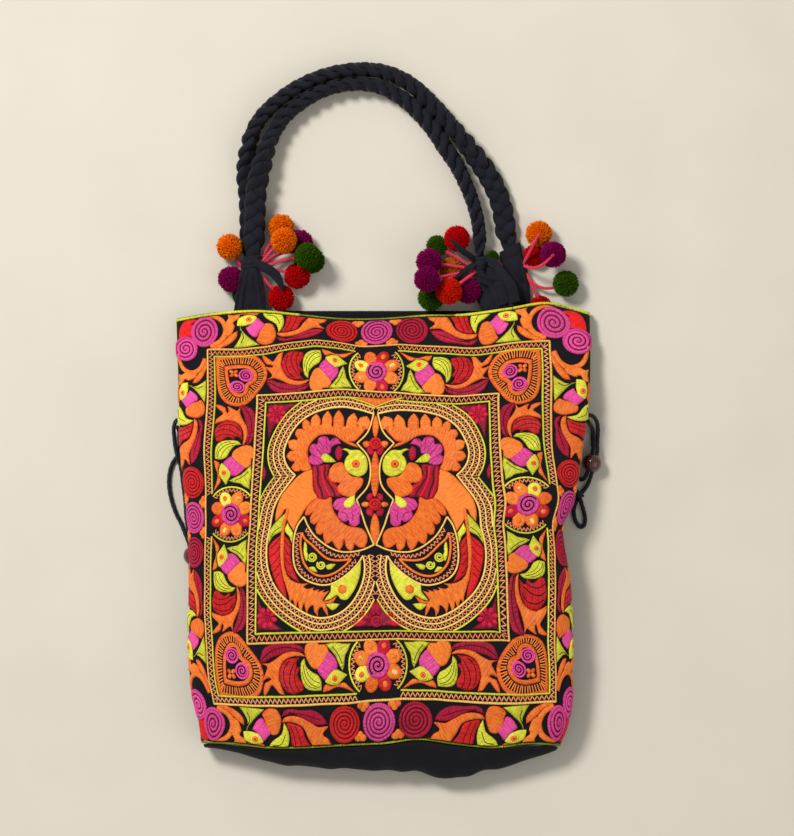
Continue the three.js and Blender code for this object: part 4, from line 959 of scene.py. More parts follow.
clothReach, clothStep = 204, 4.0
lie = {"at": [-195, -158, -111, 0, 111, 158, 195], "y": [-193.4, -150.6, -96.2, 11.4, 110.8, 154, 186.4]}
seenColumns = [-152, -111, 0, 111, 152]
seenRows = {
    -195: [-145.1, -105, -3.2, 108.4, 149.7],
    -158: [-145.1, -106.9, -3.2, 108.4, 149.7],
    -111: [-150.9, -113.8, -4.4, 106.6, 148.3],
    -79: [-153.1, -113.2, -5.5, 104.6, 149.5],
    -52: [-153.1, -113.1, -6, 103.7, 149.6],
    -30: [-152.4, -113, -6.2, 103.2, 150.1],
    0: [-152, -110.3, -6.3, 101, 149.6],
    21: [-151.8, -109.2, -6.3, 99.3, 149.5],
    60: [-152.8, -106.4, -5.8, 97.5, 144.1],
    111: [-149.2, -104, -5.3, 96.5, 143.7],
    158: [-150.2, -110.9, -4.6, 102.9, 142.6],
    195: [-150.2, -110.9, -4.6, 102.9, 142.6],
}
frameColumns = [-189, -151, -113, -76, -38, 0, 38, 76, 113, 151, 189]
stripColumns = [-189, -160, -145, -113, -104, 104, 113, 145, 160, 189]
rippleRows = {
    -195: (frameColumns, [1.8, 0.9, -2.6, -2.2, -0.4, 1.3, 4.6, 0.9, -2.4, 0.9, -0.9]),
    -158: ([-152, -118, -92, -63, -35, -14, 21, 47, 73, 107, 127, 152],
           [-1.6, -2.8, -2.5, -1.8, -0.5, 0.8, 3.8, 3.2, 1.2, -0.5, -1, 0.6]),
    -111: ([-189, -125, -116, -111, -90, -47, -6, 20, 48, 88, 111, 116, 125, 189],
           [-4, -4, -2.8, -2.8, -1.9, -0.7, 0.8, 1.3, 0.3, 0.1, 0.6, 0, -5, -3]),
    -100: (stripColumns, [-4, -4, -4.1, -4.1, 0, 0, -7.6, -7.6, -2, -2]),
    -88: (stripColumns, [-4, -4, -4.8, -4.8, 0, 0, 0.3, 0.3, 0, 0]),
    -68: (stripColumns, [-4, -4, -3.9, -3.9, 0, 0, 8.5, 8.5, 0, 0]),
    -38: (stripColumns, [-5.1, -5.1, -2, -2, 0, 0, 5.1, 5.1, -4.5, -4.5]),
    0: (stripColumns, [-5.1, -5.1, -1.7, -1.7, 0, 0, 7.1, 7.1, 6.7, 6.7]),
    40: (stripColumns, [-2.9, -2.9, -0.9, -0.9, 0, 0, 7.4, 7.4, 3.3, 3.3]),
    70: (stripColumns, [0, 0, 0.9, 0.9, 0, 0, 7.4, 7.4, 5, 5]),
    111: ([-111, -95, -66, -32, -6, 23, 53, 77, 97, 111],
          [-0.5, 0.3, 1.6, 4.4, 3, 1.3, -1.4, -1.7, -0.2, 0.4]),
    158: ([-189, -151, -125, -105, -77, -56, -35, -16, 0, 21, 50, 78, 92, 113, 133, 152, 189],
          [-3.6, -3.6, -4.5, -1.9, 3.4, 6.1, 3.6, -0.2, -0.8, 1.7, -0.4, -2.6, -2.4, 0.9, 2.8, 3.3, 3.3]),
    195: (frameColumns, [-6, 0, 1.5, -3, -6, -4.5, -1.4, -0.9, 4.2, 9.4, 0]),
}
clothGrid = np.arange(-clothReach, clothReach + 1, clothStep)


def smoothTable(rows, passes):
    across = np.array([np.interp(clothGrid, columns, row) for columns, row in rows.values()])
    grid = np.array([np.interp(clothGrid, list(rows), column) for column in across.T]).T
    for _ in range(passes):
        grid = np.pad(grid, 1, mode="edge")
        grid = (grid[:-2, 1:-1] + 2 * grid[1:-1, 1:-1] + grid[2:, 1:-1]) / 4
        grid = np.pad(grid, ((0, 0), (1, 1)), mode="edge")
        grid = (grid[:, :-2] + 2 * grid[:, 1:-1] + grid[:, 2:]) / 4
    return grid


# How far sideways each spot of the cloth comes, from where the frames are seen
def driftRow(t, seen):
    y = float(along(lie, t, "y"))
    places = [0.8 - clothHalf]
    for x in seen:
        across = x
        for _ in range(4):
            across = frontSurface.acrossAt(x, frontSurface.upAt(across, y))
        places.append(across)
    columns = [-189, *seenColumns, 189]
    return columns, np.array(places + [clothHalf - 0.8]) - columns


driftTable = smoothTable({t: driftRow(t, seen) for t, seen in seenRows.items()}, 5)
rippleTable = smoothTable(rippleRows, 1)


def lookUpTable(table, s, t):
    a = np.clip((np.asarray(s, float) + clothReach) / clothStep, 0, len(clothGrid) - 1.001)
    b = np.clip((np.asarray(t, float) + clothReach) / clothStep, 0, len(clothGrid) - 1.001)
    i, j = b.astype(int), a.astype(int)
    b, a = b - i, a - j
    return ((table[i, j] * (1 - a) + table[i, j + 1] * a) * (1 - b)
            + (table[i + 1, j] * (1 - a) + table[i + 1, j + 1] * a) * b)


# Places beyond a seam are drawn in to it, because the cloth is turned under there
def onPanel(flat):
    s, t = flat[:, 0], flat[:, 1]
    across = np.clip(s + lookUpTable(driftTable, s, t), 0.6 - clothHalf, clothHalf - 0.6)
    y = along(lie, np.clip(t, -clothReach, clothReach), "y") + lookUpTable(rippleTable, s, t)
    up = np.clip(frontSurface.upAt(across, y), edgeInset + 0.5, panelHeight - mouthInset - 0.5)
    return across, up


# The flat place of a spot seen from above, which is how the drawings below are given
def flatPlace(x, y):
    across = np.array(x, float)
    for _ in range(5):
        up = frontSurface.upAt(across, y)
        across = np.array([frontSurface.acrossAt(a, u) for a, u in zip(x, np.clip(up, 4, 386))])
    s, t = across.copy(), np.array(y, float)
    heights = np.arange(-clothReach, clothReach + 1, 1.0)
    levels = along(lie, heights, "y")
    for _ in range(8):
        level = y - lookUpTable(rippleTable, s, t)
        s, t = across - lookUpTable(driftTable, s, t), np.interp(level, levels, heights)
    return np.stack([s, t], axis=1)


threadColours = {
    "orange": threadMaterial("orangeThread", "cc3804", "ff8c30"),
    "red": threadMaterial("redThread", "7c020a", "f41c1c"),
    "crimson": threadMaterial("crimsonThread", "66001a", "d40a3c"),
    "pink": threadMaterial("pinkThread", "961052", "fc54a6"),
    "lime": threadMaterial("greenThread", "98980a", "f2ee44"),
    "gold": threadMaterial("goldThread", "c47814", "ffdc74", gap=1.5),
    "yellow": threadMaterial("yellowThread", "c8b010", "fff45c"),
    "peach": threadMaterial("peachThread", "d8602c", "ffb47c"),
    "dark": threadMaterial("darkThread", "240406", "560c10"),
    "black": threadMaterial("blackThread", "030204", "0e0b11", roughness=0.9),
}
stitched = {colour: [] for colour in threadColours}
whole = [np.eye(2)]
mirror = np.diag([-1.0, 1.0])
flip = np.diag([1.0, -1.0])
swap = np.array([[0.0, -1.0], [-1.0, 0.0]])  # top to left side
bothHalves = [np.eye(2), mirror]
fourCorners = [np.eye(2), mirror, flip, mirror @ flip]
fourSides = [np.eye(2), flip, swap, swap @ flip]
eightFold = fourCorners + [m @ swap for m in fourCorners]


# The upright strips are a little narrower than the level ones, so what is turned into them is drawn in.
drawnIn = {"from": [0, 115.7, 153.7, 162.3, 195], "to": [0, 115.7, 147.7, 156.3, 189]}


def keep(colour, flat, height, faces, uv, copies, tone, shade):
    # shade is painted shade and painted highlight over the shape's stitches, added to its tone; the tone is random
    # when none is given
    tone = shade + (rng.uniform(-0.5, 0.5) if tone is None else tone)
    for move in copies:
        turned = faces if np.linalg.det(move) > 0 else faces[:, ::-1]
        moved = flat @ move.T
        if move[0, 0] == 0:
            reach = np.interp(np.abs(moved[:, 0]), drawnIn["from"], drawnIn["to"])
            moved[:, 0] = np.sign(moved[:, 0]) * reach
        stitched[colour].append((moved, height, turned, uv, tone))


def insideOf(points, outline):
    a, b = outline, np.roll(outline, -1, axis=0)
    crossing = (a[None, :, 1] > points[:, None, 1]) != (b[None, :, 1] > points[:, None, 1])
    rise = np.where(np.abs(b[:, 1] - a[:, 1]) < 1e-9, 1e-9, b[:, 1] - a[:, 1])
    x = a[None, :, 0] + (points[:, None, 1] - a[None, :, 1]) * ((b - a)[:, 0] / rise)[None, :]
    return (crossing & (points[:, None, 0] < x)).sum(1) % 2 == 1


def farFrom(points, line, closed=True):
    a = line if closed else line[:-1]
    b = np.roll(line, -1, axis=0) if closed else line[1:]
    onward = b - a
    share = np.einsum("ijk,jk->ij", points[:, None] - a[None], onward) / np.maximum((onward ** 2).sum(1), 1e-9)
    near = a[None] + onward[None] * np.clip(share, 0, 1)[..., None]
    return np.sqrt(((points[:, None] - near) ** 2).sum(-1)).min(1)


stitch = {"gap": 1.7, "slope": 1.7, "lift": 0.15, "layer": 0.4}  # spacing of points, domed edge, heights


# A filled shape: domed, sloping down to its edge, its stitches across its longer way
def patch(colour, outline, level=0, copies=whole, dome=0.75, angle=None, tone=None):
    gap = stitch["gap"]
    area = np.sum(outline[:, 0] * np.roll(outline[:, 1], -1) - outline[:, 1] * np.roll(outline[:, 0], -1))
    outline = outline if area > 0 else outline[::-1]
    low, high = outline.min(0), outline.max(0)
    columns, rows = np.meshgrid(np.arange(low[0], high[0], gap), np.arange(low[1], high[1], gap * 0.87))
    columns[1::2] += gap / 2
    inner = np.stack([columns.ravel(), rows.ravel()], axis=1)
    normal = unit(np.roll(outline, -1, axis=0) - np.roll(outline, 1, axis=0))[:, ::-1] * [-1, 1]
    rim = outline + normal * 0.5
    inner = inner[insideOf(inner, outline)] if len(inner) else inner
    inner = inner[farFrom(inner, outline) > 1.0] if len(inner) else inner
    rim = rim[insideOf(rim, outline)]
    rim = rim[farFrom(rim, outline) > 0.42] if len(rim) else rim
    points = np.vstack([outline, rim, inner])
    edge = [(i, (i + 1) % len(outline)) for i in range(len(outline))]
    found = delaunay_2d_cdt([tuple(p) for p in points.tolist()], edge, [], 1, 1e-4)
    flat = np.array([tuple(v) for v in found[0]])
    faces = np.array([f for f in found[2] if len(f) == 3])
    if not len(faces):
        return
    depth = farFrom(flat, outline)
    profile = np.sqrt(1 - (1 - np.clip(depth / stitch["slope"], 0, 1)) ** 2)
    height = stitch["lift"] + level * stitch["layer"] + dome * profile - 0.3 * (depth < 0.01)
    middle = flat.mean(0)
    if angle is None:
        long = np.linalg.svd(flat - middle, full_matrices=False)[2][0]
    else:
        long = np.array([math.cos(math.radians(angle)), math.sin(math.radians(angle))])
    uv = np.stack([(flat - middle) @ long, (flat - middle) @ (long[::-1] * [-1, 1])], axis=1) + rng.uniform(0, 90, 2)
    # painted shade towards the shape's edge and painted highlight over its dome
    keep(colour, flat, height, faces, uv, copies, tone, 1.3 * profile - 1)


# A stitched line with a rounded top
def ribbon(colour, line, width, level=0, copies=whole, closed=False, dome=0.8, tone=None):
    if closed:
        line = np.vstack([line, line[:1]])
    if len(line) < 2:
        return
    way = unit(np.gradient(line, axis=0))
    if closed:
        way[0] = way[-1] = unit(line[1] - line[-2])
    across = way[:, ::-1] * [-1, 1]
    lengths = arcLengths(line)
    spread = np.array([-1, -0.72, 0, 0.72, 1])
    rise = np.array([-0.25, 0.7, 1, 0.7, -0.25])
    flat = (line[:, None] + across[:, None] * (width / 2 * spread)[None, :, None]).reshape(-1, 2)
    height = np.tile(stitch["lift"] + level * stitch["layer"] + dome * rise, len(line))
    index = np.arange(len(line) * 5).reshape(-1, 5)
    faces = np.stack([index[:-1, :-1], index[1:, :-1], index[1:, 1:], index[:-1, 1:]], -1).reshape(-1, 4)[:, ::-1]
    uv = np.stack([np.repeat(lengths, 5), np.tile(spread * width / 2, len(line))], axis=1) + [rng.uniform(0, 90), 0]
    # painted shade along the line's edges and painted highlight along its top
    keep(colour, flat, height, faces, uv, copies, tone, np.tile(0.9 * rise - 0.5, len(line)))


def evenly(line, step, closed=False):
    line = np.vstack([line, line[:1]]) if closed else line
    line = resample(line, step)[0]
    return line[:-1] if closed else line


# The drawings were made over enlarged pictures of the front. A drawing's view has the left and upper edge of
# its picture, in pixels of 0.875 mm, and how many times it is enlarged. Its text has places in that picture,
# with a star at each sharp corner.
pixel = {"size": 0.875, "middleX": 382, "middleY": 525}


def drawnLine(text, view, closed=True, step=1.1):
    words = text.split()
    left, top, zoom = view
    spots = np.array([[float(v) for v in word.rstrip("*").split(",")] for word in words])
    corners = [i for i, word in enumerate(words) if word.endswith("*")]
    x = (left + spots[:, 0] / zoom - pixel["middleX"]) * pixel["size"]
    y = (pixel["middleY"] - top - spots[:, 1] / zoom) * pixel["size"]
    flat = flatPlace(x, y)
    if not corners:
        return evenly(smoothPath(flat, 8, closed=closed)[0], step, closed)
    if not closed:
        corners = sorted({0, *corners, len(flat) - 1})
        runs = [flat[a:b + 1] for a, b in zip(corners, corners[1:])]
    else:
        flat = np.roll(flat, -corners[0], axis=0)
        corners = [c - corners[0] for c in corners] + [len(flat)]
        flat = np.vstack([flat, flat[:1]])
        runs = [flat[a:b + 1] for a, b in zip(corners, corners[1:])]
    pieces = [evenly(smoothPath(run, 8)[0], step) for run in runs]
    return np.vstack([piece[:-1] for piece in pieces] + ([] if closed else [pieces[-1][-1:]]))


# Rows of a thread, a level and a drawing: a patch, or a line where the row also has a width
def draw(rows, view, copies):
    for colour, level, text, *width in rows:
        if width:
            ribbon(colour, drawnLine(text, view, closed=False), width[0], level, copies, dome=0.55)
        else:
            # crimson ground patches at level 0 get painted shade, so the crimson flowers raised on them, painted
            # lighter, stand out
            tone = -0.9 if colour == "crimson" and not level else None
            patch(colour, drawnLine(text, view), level, copies, tone=tone)


def spotAt(x, y, view):
    return drawnLine(f"{x},{y} {x + 1},{y}", view, closed=False)[0]


def circle(centre, radius, long=1.0, angle=0.0, count=26):
    turn = np.linspace(0, 2 * math.pi, count, endpoint=False)
    spot = np.stack([np.cos(turn) * radius * long, np.sin(turn) * radius], axis=1)
    c, s = math.cos(math.radians(angle)), math.sin(math.radians(angle))
    return spot @ np.array([[c, s], [-s, c]]) + centre


# A line wound inwards round a centre
def woundLine(centre, outer, inner, turns, points, start):
    angle = np.linspace(0, turns * 2 * math.pi, points)
    reach = mix(outer, inner, angle / angle[-1])
    return centre + np.stack([np.cos(angle + start) * reach, np.sin(angle + start) * reach], axis=1)


# A disc of satin stitch wound in a spiral, with a dark line between the turns
def spiral(colour, centre, radius, turns=3.0, copies=whole, under="dark", start=0.0, level=1, line=0.76):
    patch(under, circle(centre, radius * 0.93), level - 1, copies, dome=0.35)
    pitch = radius / (turns + 0.35)
    angle = np.linspace(0, turns * 2 * math.pi, int(turns * 30))
    wound = angle / (2 * math.pi)
    rim = radius - pitch * line / 2
    way = np.stack([np.cos(angle + start), np.sin(angle + start)], axis=1)
    ribbon(colour, circle(centre, rim, count=40), pitch * line, level, copies, closed=True, dome=0.75)
    ribbon(colour, centre + way * (rim - pitch * wound)[:, None], pitch * line, level, copies, dome=0.72)
    patch(colour, circle(centre, pitch * 0.42, count=12), level, copies)


# Round petals on a ring, their colours in turn
def flower(colours, centre, ring, size, count, level=1, copies=whole, start=0.0, tone=None):
    for k in range(count):
        angle = start + k * 360 / count
        way = np.array([math.cos(math.radians(angle)), math.sin(math.radians(angle))])
        petal = circle(centre + way * ring, size, 1.25, angle, 18)
        patch(colours[k % len(colours)], petal, level, copies, tone=tone)


# Teeth along a line, half to each side of it
def zigzag(line, half, pitch, colour, width, level=0, copies=whole):
    lengths = arcLengths(line)
    count = 2 * max(int(round(lengths[-1] / pitch)), 1)
    at = np.linspace(0, lengths[-1], count + 1)
    spots = np.stack([np.interp(at, lengths, line[:, 0]), np.interp(at, lengths, line[:, 1])], axis=1)
    way = unit(np.gradient(spots, axis=0))
    side = np.where(np.arange(count + 1) % 2 == 0, 1, -1)[:, None]
    spots = spots + way[:, ::-1] * [-1, 1] * side * half
    fine = np.repeat(spots[:-1], 3, axis=0) + (np.tile([0, 0.33, 0.67], count)[:, None]
                                               * np.repeat(np.diff(spots, axis=0), 3, axis=0))
    ribbon(colour, np.vstack([fine, spots[-1:]]), width, level, copies, dome=0.55)


# Straight frames: a gold line outside, zigzag on a dark ground, a lime line inside. An opening leaves room
# for the medallion at the middle of each side.
def frameBand(halfWide, halfHigh, out, half, pitch, opening=0):
    corners = np.array([(-1, 1), (1, 1), (1, -1), (-1, -1)], float)
    for shift, colour, width in ((out, "gold", 1.9), (-out, "lime", 1.7), (0, "peach", 1.05)):
        spots = corners * [halfWide + shift, halfHigh + shift]
        for a, b in zip(spots, np.roll(spots, -1, axis=0)):
            runs = [(a, b)]
            if opening and shift <= 0:
                middle, way = (a + b) / 2, unit(b - a)
                runs = [(a, middle - way * opening), (middle + way * opening, b)]
            for ends in runs:
                run = evenly(np.array(ends), 1.6)
                if shift:
                    ribbon(colour, run, width, 1)
                else:
                    ribbon("dark", run, 2 * out, -1, dome=0.12)
                    zigzag(run, half, pitch, colour, width)


frameBand(152, 158, 3.3, 1.9, 4.1, 19.5)
frameBand(111, 111, 3.7, 2.3, 4.6)
print("frames stitched")

# A yellow ring, an orange iris and a red spot, each with its radius
def stitchEye(centre, radii, level, copies, longer=(1.0, 1.0, 1.0), points=10):
    for k, colour in enumerate(("yellow", "orange", "red")):
        count = points if colour == "red" else 26
        patch(colour, circle(centre, radii[k], longer[k], count=count), level + k, copies)


# Middle strip: half a side, from the heart to the medallion, then its copies
stripView = (176, 305, 7.686)
draw([
    ("orange", 1, "660,375* 700,400 748,432 762,415 790,375 828,362* 815,420 812,470 850,545 900,575 960,582"
                  " 1030,572* 1000,600 940,618 880,612 820,585 760,565 700,570* 740,545 722,515 700,490 690,470"
                  " 720,478 750,472 735,462 700,455 672,420"),
    ("red", 1, "975,362* 900,352 850,375 820,420 812,470 828,520 860,552 910,572 985,572* 955,530 985,505*"
               " 955,470 965,430 985,395"),
    ("black", 2, "905,365 885,410 900,480 945,545", 1.0),
    ("black", 2, "860,385 845,450 865,520 910,560", 1.0),
    ("black", 2, "945,362 925,420 940,490 970,535", 0.9),
    ("crimson", 1, "690,575* 735,650 800,680 880,682 960,665 1010,640 1032,600* 960,612 900,612 840,600 780,590"
                   " 730,572"),
    ("black", 2, "715,595 800,638 900,648 1010,618", 1.0),
    ("lime", 1, "1112,348* 1040,350 1000,370 978,420 978,480 992,540 1018,562* 1025,510 1060,470 1105,440"
                " 1120,400"),
    ("black", 2, "1100,366 1045,392 1010,450 1004,520", 0.8),
    ("black", 2, "1080,360 1020,385 995,430 990,480", 0.7),
    ("black", 2, "1108,395 1065,415 1032,455 1020,500", 0.7),
    ("orange", 1, "1038,545 1025,600 1040,650 1075,668 1112,668 1135,642 1168,640 1192,612 1195,570 1165,520"
                  " 1110,482 1065,495"),
    ("pink", 2, "1100,480 1125,435 1160,412 1200,450 1245,480 1248,530 1215,575 1190,592 1165,560 1130,520"),
    ("lime", 2, "1150,402 1190,386 1240,390 1278,420 1318,455* 1270,472 1225,486 1185,462 1158,430"),
    ("orange", 1, "1122,338* 1170,350 1230,375 1280,376 1370,362* 1335,385 1290,408 1240,392 1190,380 1150,388"
                  " 1130,365"),
    ("lime", 1, "1285,472* 1262,510 1240,560 1175,640* 1240,645 1300,635 1355,638* 1335,600 1310,560 1300,510"),
    ("black", 2, "1285,515 1258,575 1222,622", 0.9),
], stripView, eightFold)
eye = spotAt(1222, 428, stripView)
stitchEye(eye, (4.7, 2.9, 1.1), 3, eightFold)

# Medallions at the middles of the sides
medallion = {
    "middle": np.array([0.0, 134.5]), "disc": 10.2, "ring": 14.4, "petal": 6.1, "innerRing": 15.8, "innerPetal": 2.4,
    "petals": ["orange", "red", "orange", "yellow", "orange", "orange", "crimson", "orange"],
    "innerPetals": ["gold", "orange", "orange", "orange"], "turn": 22, "arc": 25.3, "teeth": 22.3, "ground": 22.6,
}
middle = medallion["middle"]
flower(medallion["petals"], middle, medallion["ring"], medallion["petal"], 8, 1, fourSides, medallion["turn"])
flower(medallion["innerPetals"], middle, medallion["innerRing"], medallion["innerPetal"], 8, 2, fourSides,
       medallion["turn"])
patch("pink", circle(middle, medallion["disc"]), 3, fourSides, dome=1.1)
ribbon("black", woundLine(middle, 7.9, 0.3, 2.1, 70, 2.2), 1.5, 5.6, fourSides, dome=0.4)
for side in (-1, 1):
    turn = np.radians(np.linspace(-48, 48, 40))
    arc = np.stack([np.cos(turn) * side, np.sin(turn)], axis=1)
    ribbon("lime", middle + arc * medallion["arc"], 1.7, 1, fourSides)
    ribbon("dark", middle + arc * medallion["ground"], 4.4, -1, fourSides, dome=0.12)
    zigzag(middle + arc * medallion["teeth"], 1.7, 3.3, "peach", 0.95, 1, fourSides)

# Hearts in the corners of the strip
heartView = (202, 348, 12.86)
heart = drawnLine("175,110* 300,98 450,85 600,84 710,110 790,180 838,270 838,380 785,490 700,600 610,700 510,752"
                  " 400,748 295,695 225,600 195,470 180,290", heartView)
patch("orange", heart, 0, fourCorners, dome=0.6)
ring = drawnLine("215,148* 330,132 470,122 590,122 690,150 760,210 802,290 800,380 750,475 665,580 580,668 500,715"
                 " 405,712 315,662 255,575 228,450 215,300", heartView)
patch("black", ring, 1, fourCorners, dome=0.3)
inside = drawnLine("285,235* 380,218 480,214 590,222 670,262 715,330 705,420 660,465 612,490* 600,560 560,615 500,640"
                   " 420,622 350,545 310,440 292,330", heartView)
patch("orange", inside, 2, fourCorners, dome=0.5)
hollow = drawnLine("325,275* 400,262 490,256 580,262 640,295 672,345 655,405 600,448 560,480* 562,540 530,590 480,598"
                   " 425,580 375,510 345,420 332,340", heartView)
patch("black", hollow, 3, fourCorners, dome=0.15)
rayGap = 2.5  # bars between the two orange rims
rayCount = int(arcLengths(ring)[-1] / rayGap)
for spot in evenly(ring, arcLengths(ring)[-1] / rayCount, True):
    way = unit(hollow.mean(0) - spot)
    near = inside[np.argmin(np.linalg.norm(inside - (spot + way * 5), axis=1))]
    ray = evenly(np.array([spot + (near - spot) * 0.06, spot + (near - spot) * 0.9]), 1.2)
    ribbon("orange", ray, 1.0, 2, fourCorners, dome=0.35, tone=1.2)
spiral("pink", spotAt(570, 358, heartView), 6.4, 2.3, fourCorners, under="black", start=2.6, level=4, line=0.66)
spiral("pink", spotAt(460, 505, heartView), 6.4, 2.3, fourCorners, under="black", start=-0.6, level=4, line=0.66)
flower(["orange"], spotAt(412, 330, heartView), 2.6, 1.7, 4, 4, fourCorners, 45)
print("middle strip stitched")

# Outer border: half a side, from the corner to the middle, then its copies
draw([
    ("red", 0, "20,240* 30,175 60,128 120,108 175,118* 130,145 108,185 100,240"),
    ("orange", 1, "255,300* 330,262 362,205 345,145 290,108 195,96* 250,78 315,82 368,112 395,165 402,215"
                  " 385,262 330,312 270,332"),
    ("orange", 1, "270,325* 340,300 400,252 440,222 475,205* 470,250 420,300 350,332 290,338"),
    ("orange", 1, "378,140* 402,104 395,74* 440,80 492,74 480,110 440,138 452,165 428,230 392,248 378,190"),
    ("lime", 2, "468,165* 478,112 520,86 580,80 622,95 600,140 550,160 500,168"),
    ("orange", 1, "480,74* 550,50 645,58 620,80 540,76"),
    ("pink", 2, "535,180* 580,150 625,102 660,130 686,160 650,200 620,250 590,246 560,220"),
    ("orange", 1, "630,250 650,182 690,142 740,150 766,200 770,240 742,290 690,306 650,300 618,272"),
    ("lime", 2, "665,60* 730,68 790,60 822,90 832,130 815,180 790,212* 768,150 705,112 680,90"),
    ("black", 3, "700,80 765,95 800,150", 0.9),
    ("lime", 1, "490,160* 510,200 560,250 642,305* 560,322 445,332* 480,280 500,240"),
    ("black", 2, "500,205 520,255 500,300", 0.9),
    ("red", 1, "850,86* 920,78 1006,95* 962,132 930,180 870,200 810,206 838,150"),
    ("black", 2, "880,92 870,140 840,195", 0.9),
    ("black", 2, "930,88 915,130 880,190", 0.9),
    ("orange", 1, "775,215* 860,206 940,180 982,132 1020,92 1050,84* 1062,100 1120,95 1192,100* 1150,130"
                  " 1100,150 1142,182 1060,176 1000,200 930,226 850,242 790,236"),
    ("crimson", 1, "775,246* 860,250 940,222 1000,196 1070,182 1138,192* 1100,222 1020,250 920,262 860,276"
                   " 800,276"),
    ("black", 2, "830,262 940,242 1080,205", 0.9),
], stripView, eightFold)
eye = spotAt(560, 118, stripView)
stitchEye(eye, (4.2, 2.6, 1.1), 3, eightFold, (1.25, 1.3, 1.2))
cornerX, cornerY = np.array([-155.7, -171.5]), np.array([168.9, 154])
upperCorner, lowerCorner = flatPlace(cornerX, cornerY)
spiral("pink", upperCorner, 14, 3.2, fourCorners, start=1.2, level=2)
spiral("pink", lowerCorner, 12.6, 3.1, fourCorners, start=3.6, level=2)
roundSize, roundHeight, roundShift = 14.6, 177.6, -32.0
spiral("red", np.array([roundShift, roundHeight]), roundSize, 4.2, fourSides, start=0.4)
spiral("crimson", np.array([roundShift, roundHeight]), roundSize, 4.2, [m @ mirror for m in fourSides], start=0.4)
spiral("pink", np.array([0.0, roundHeight]), roundSize, 4.2, fourSides, start=2.0)
for x, y, side in ((1400, 140, -1), (1425, 298, 1)):
    spot = spotAt(x, y, stripView)
    flower(["orange"], spot, 2.2, 2.9, 2, 1, eightFold, 0)
    patch("orange", circle(spot + [0, side * 2.2], 2.9), 1, eightFold)
print("outer border stitched")

# Central field: a lobed double frame, drawn for the left half
upper = (252, 396, 12.06)
lower = (252, 505, 11.2)
leftLine = np.vstack([
    drawnLine("1470,212 1300,165 1100,138 900,160 700,230 550,345 450,500 392,660 405,790 460,885 525,952*"
              " 430,1075 340,1200 270,1350 240,1480", upper, closed=False),
    drawnLine("215,210 182,380 170,560 185,700 235,850 310,970 420,1080 560,1180 750,1252 950,1218 1100,1110"
              " 1200,960 1255,800 1265,660 1248,560", lower, closed=False),
])
centreLine = np.vstack([
    drawnLine("1470,212* 1400,430 1270,570* 1400,730 1432,900 1400,1080 1265,1245* 1330,1420", upper, closed=False),
    drawnLine("1270,210 1368,436", lower, closed=False),
])
ribbon("gold", leftLine, 1.9, 1, bothHalves)
ribbon("gold", centreLine, 1.7, 1, bothHalves)
outwards = unit(np.gradient(leftLine, axis=0))[:, ::-1] * [-1, 1]
outwards = outwards if outwards[len(outwards) // 3][0] < 0 else -outwards
lobeStep, fieldHalf = 5.0, 106.6  # from line to line, and where the straight frame cuts them off
for k, colour in enumerate(("gold", "gold", "lime")):
    for offset, kind in ((lobeStep * (k + 1), "line"), (lobeStep * (k + 0.5), "teeth")):
        moved = leftLine + outwards * offset
        fits = ((farFrom(moved, leftLine, False) > offset - 0.25) & (np.abs(moved[:, 1]) < fieldHalf)
                & (moved[:, 0] > -fieldHalf) & (moved[:, 0] < -0.6))
        start = None
        for i in range(len(moved) + 1):
            if i < len(moved) and fits[i]:
                start = i if start is None else start
            elif start is not None:
                run = moved[start:i]
                start = None
                if len(run) < 5:
                    continue
                run = evenly(run, 1.3)
                if kind == "line":
                    ribbon(colour, run, 1.6, 1, bothHalves)
                else:
                    ribbon("dark", run, 4.6, -1, bothHalves, dome=0.12)
                    zigzag(run, 1.75, 4.3, "peach", 0.95, 0, bothHalves)
print("lobed frame stitched")

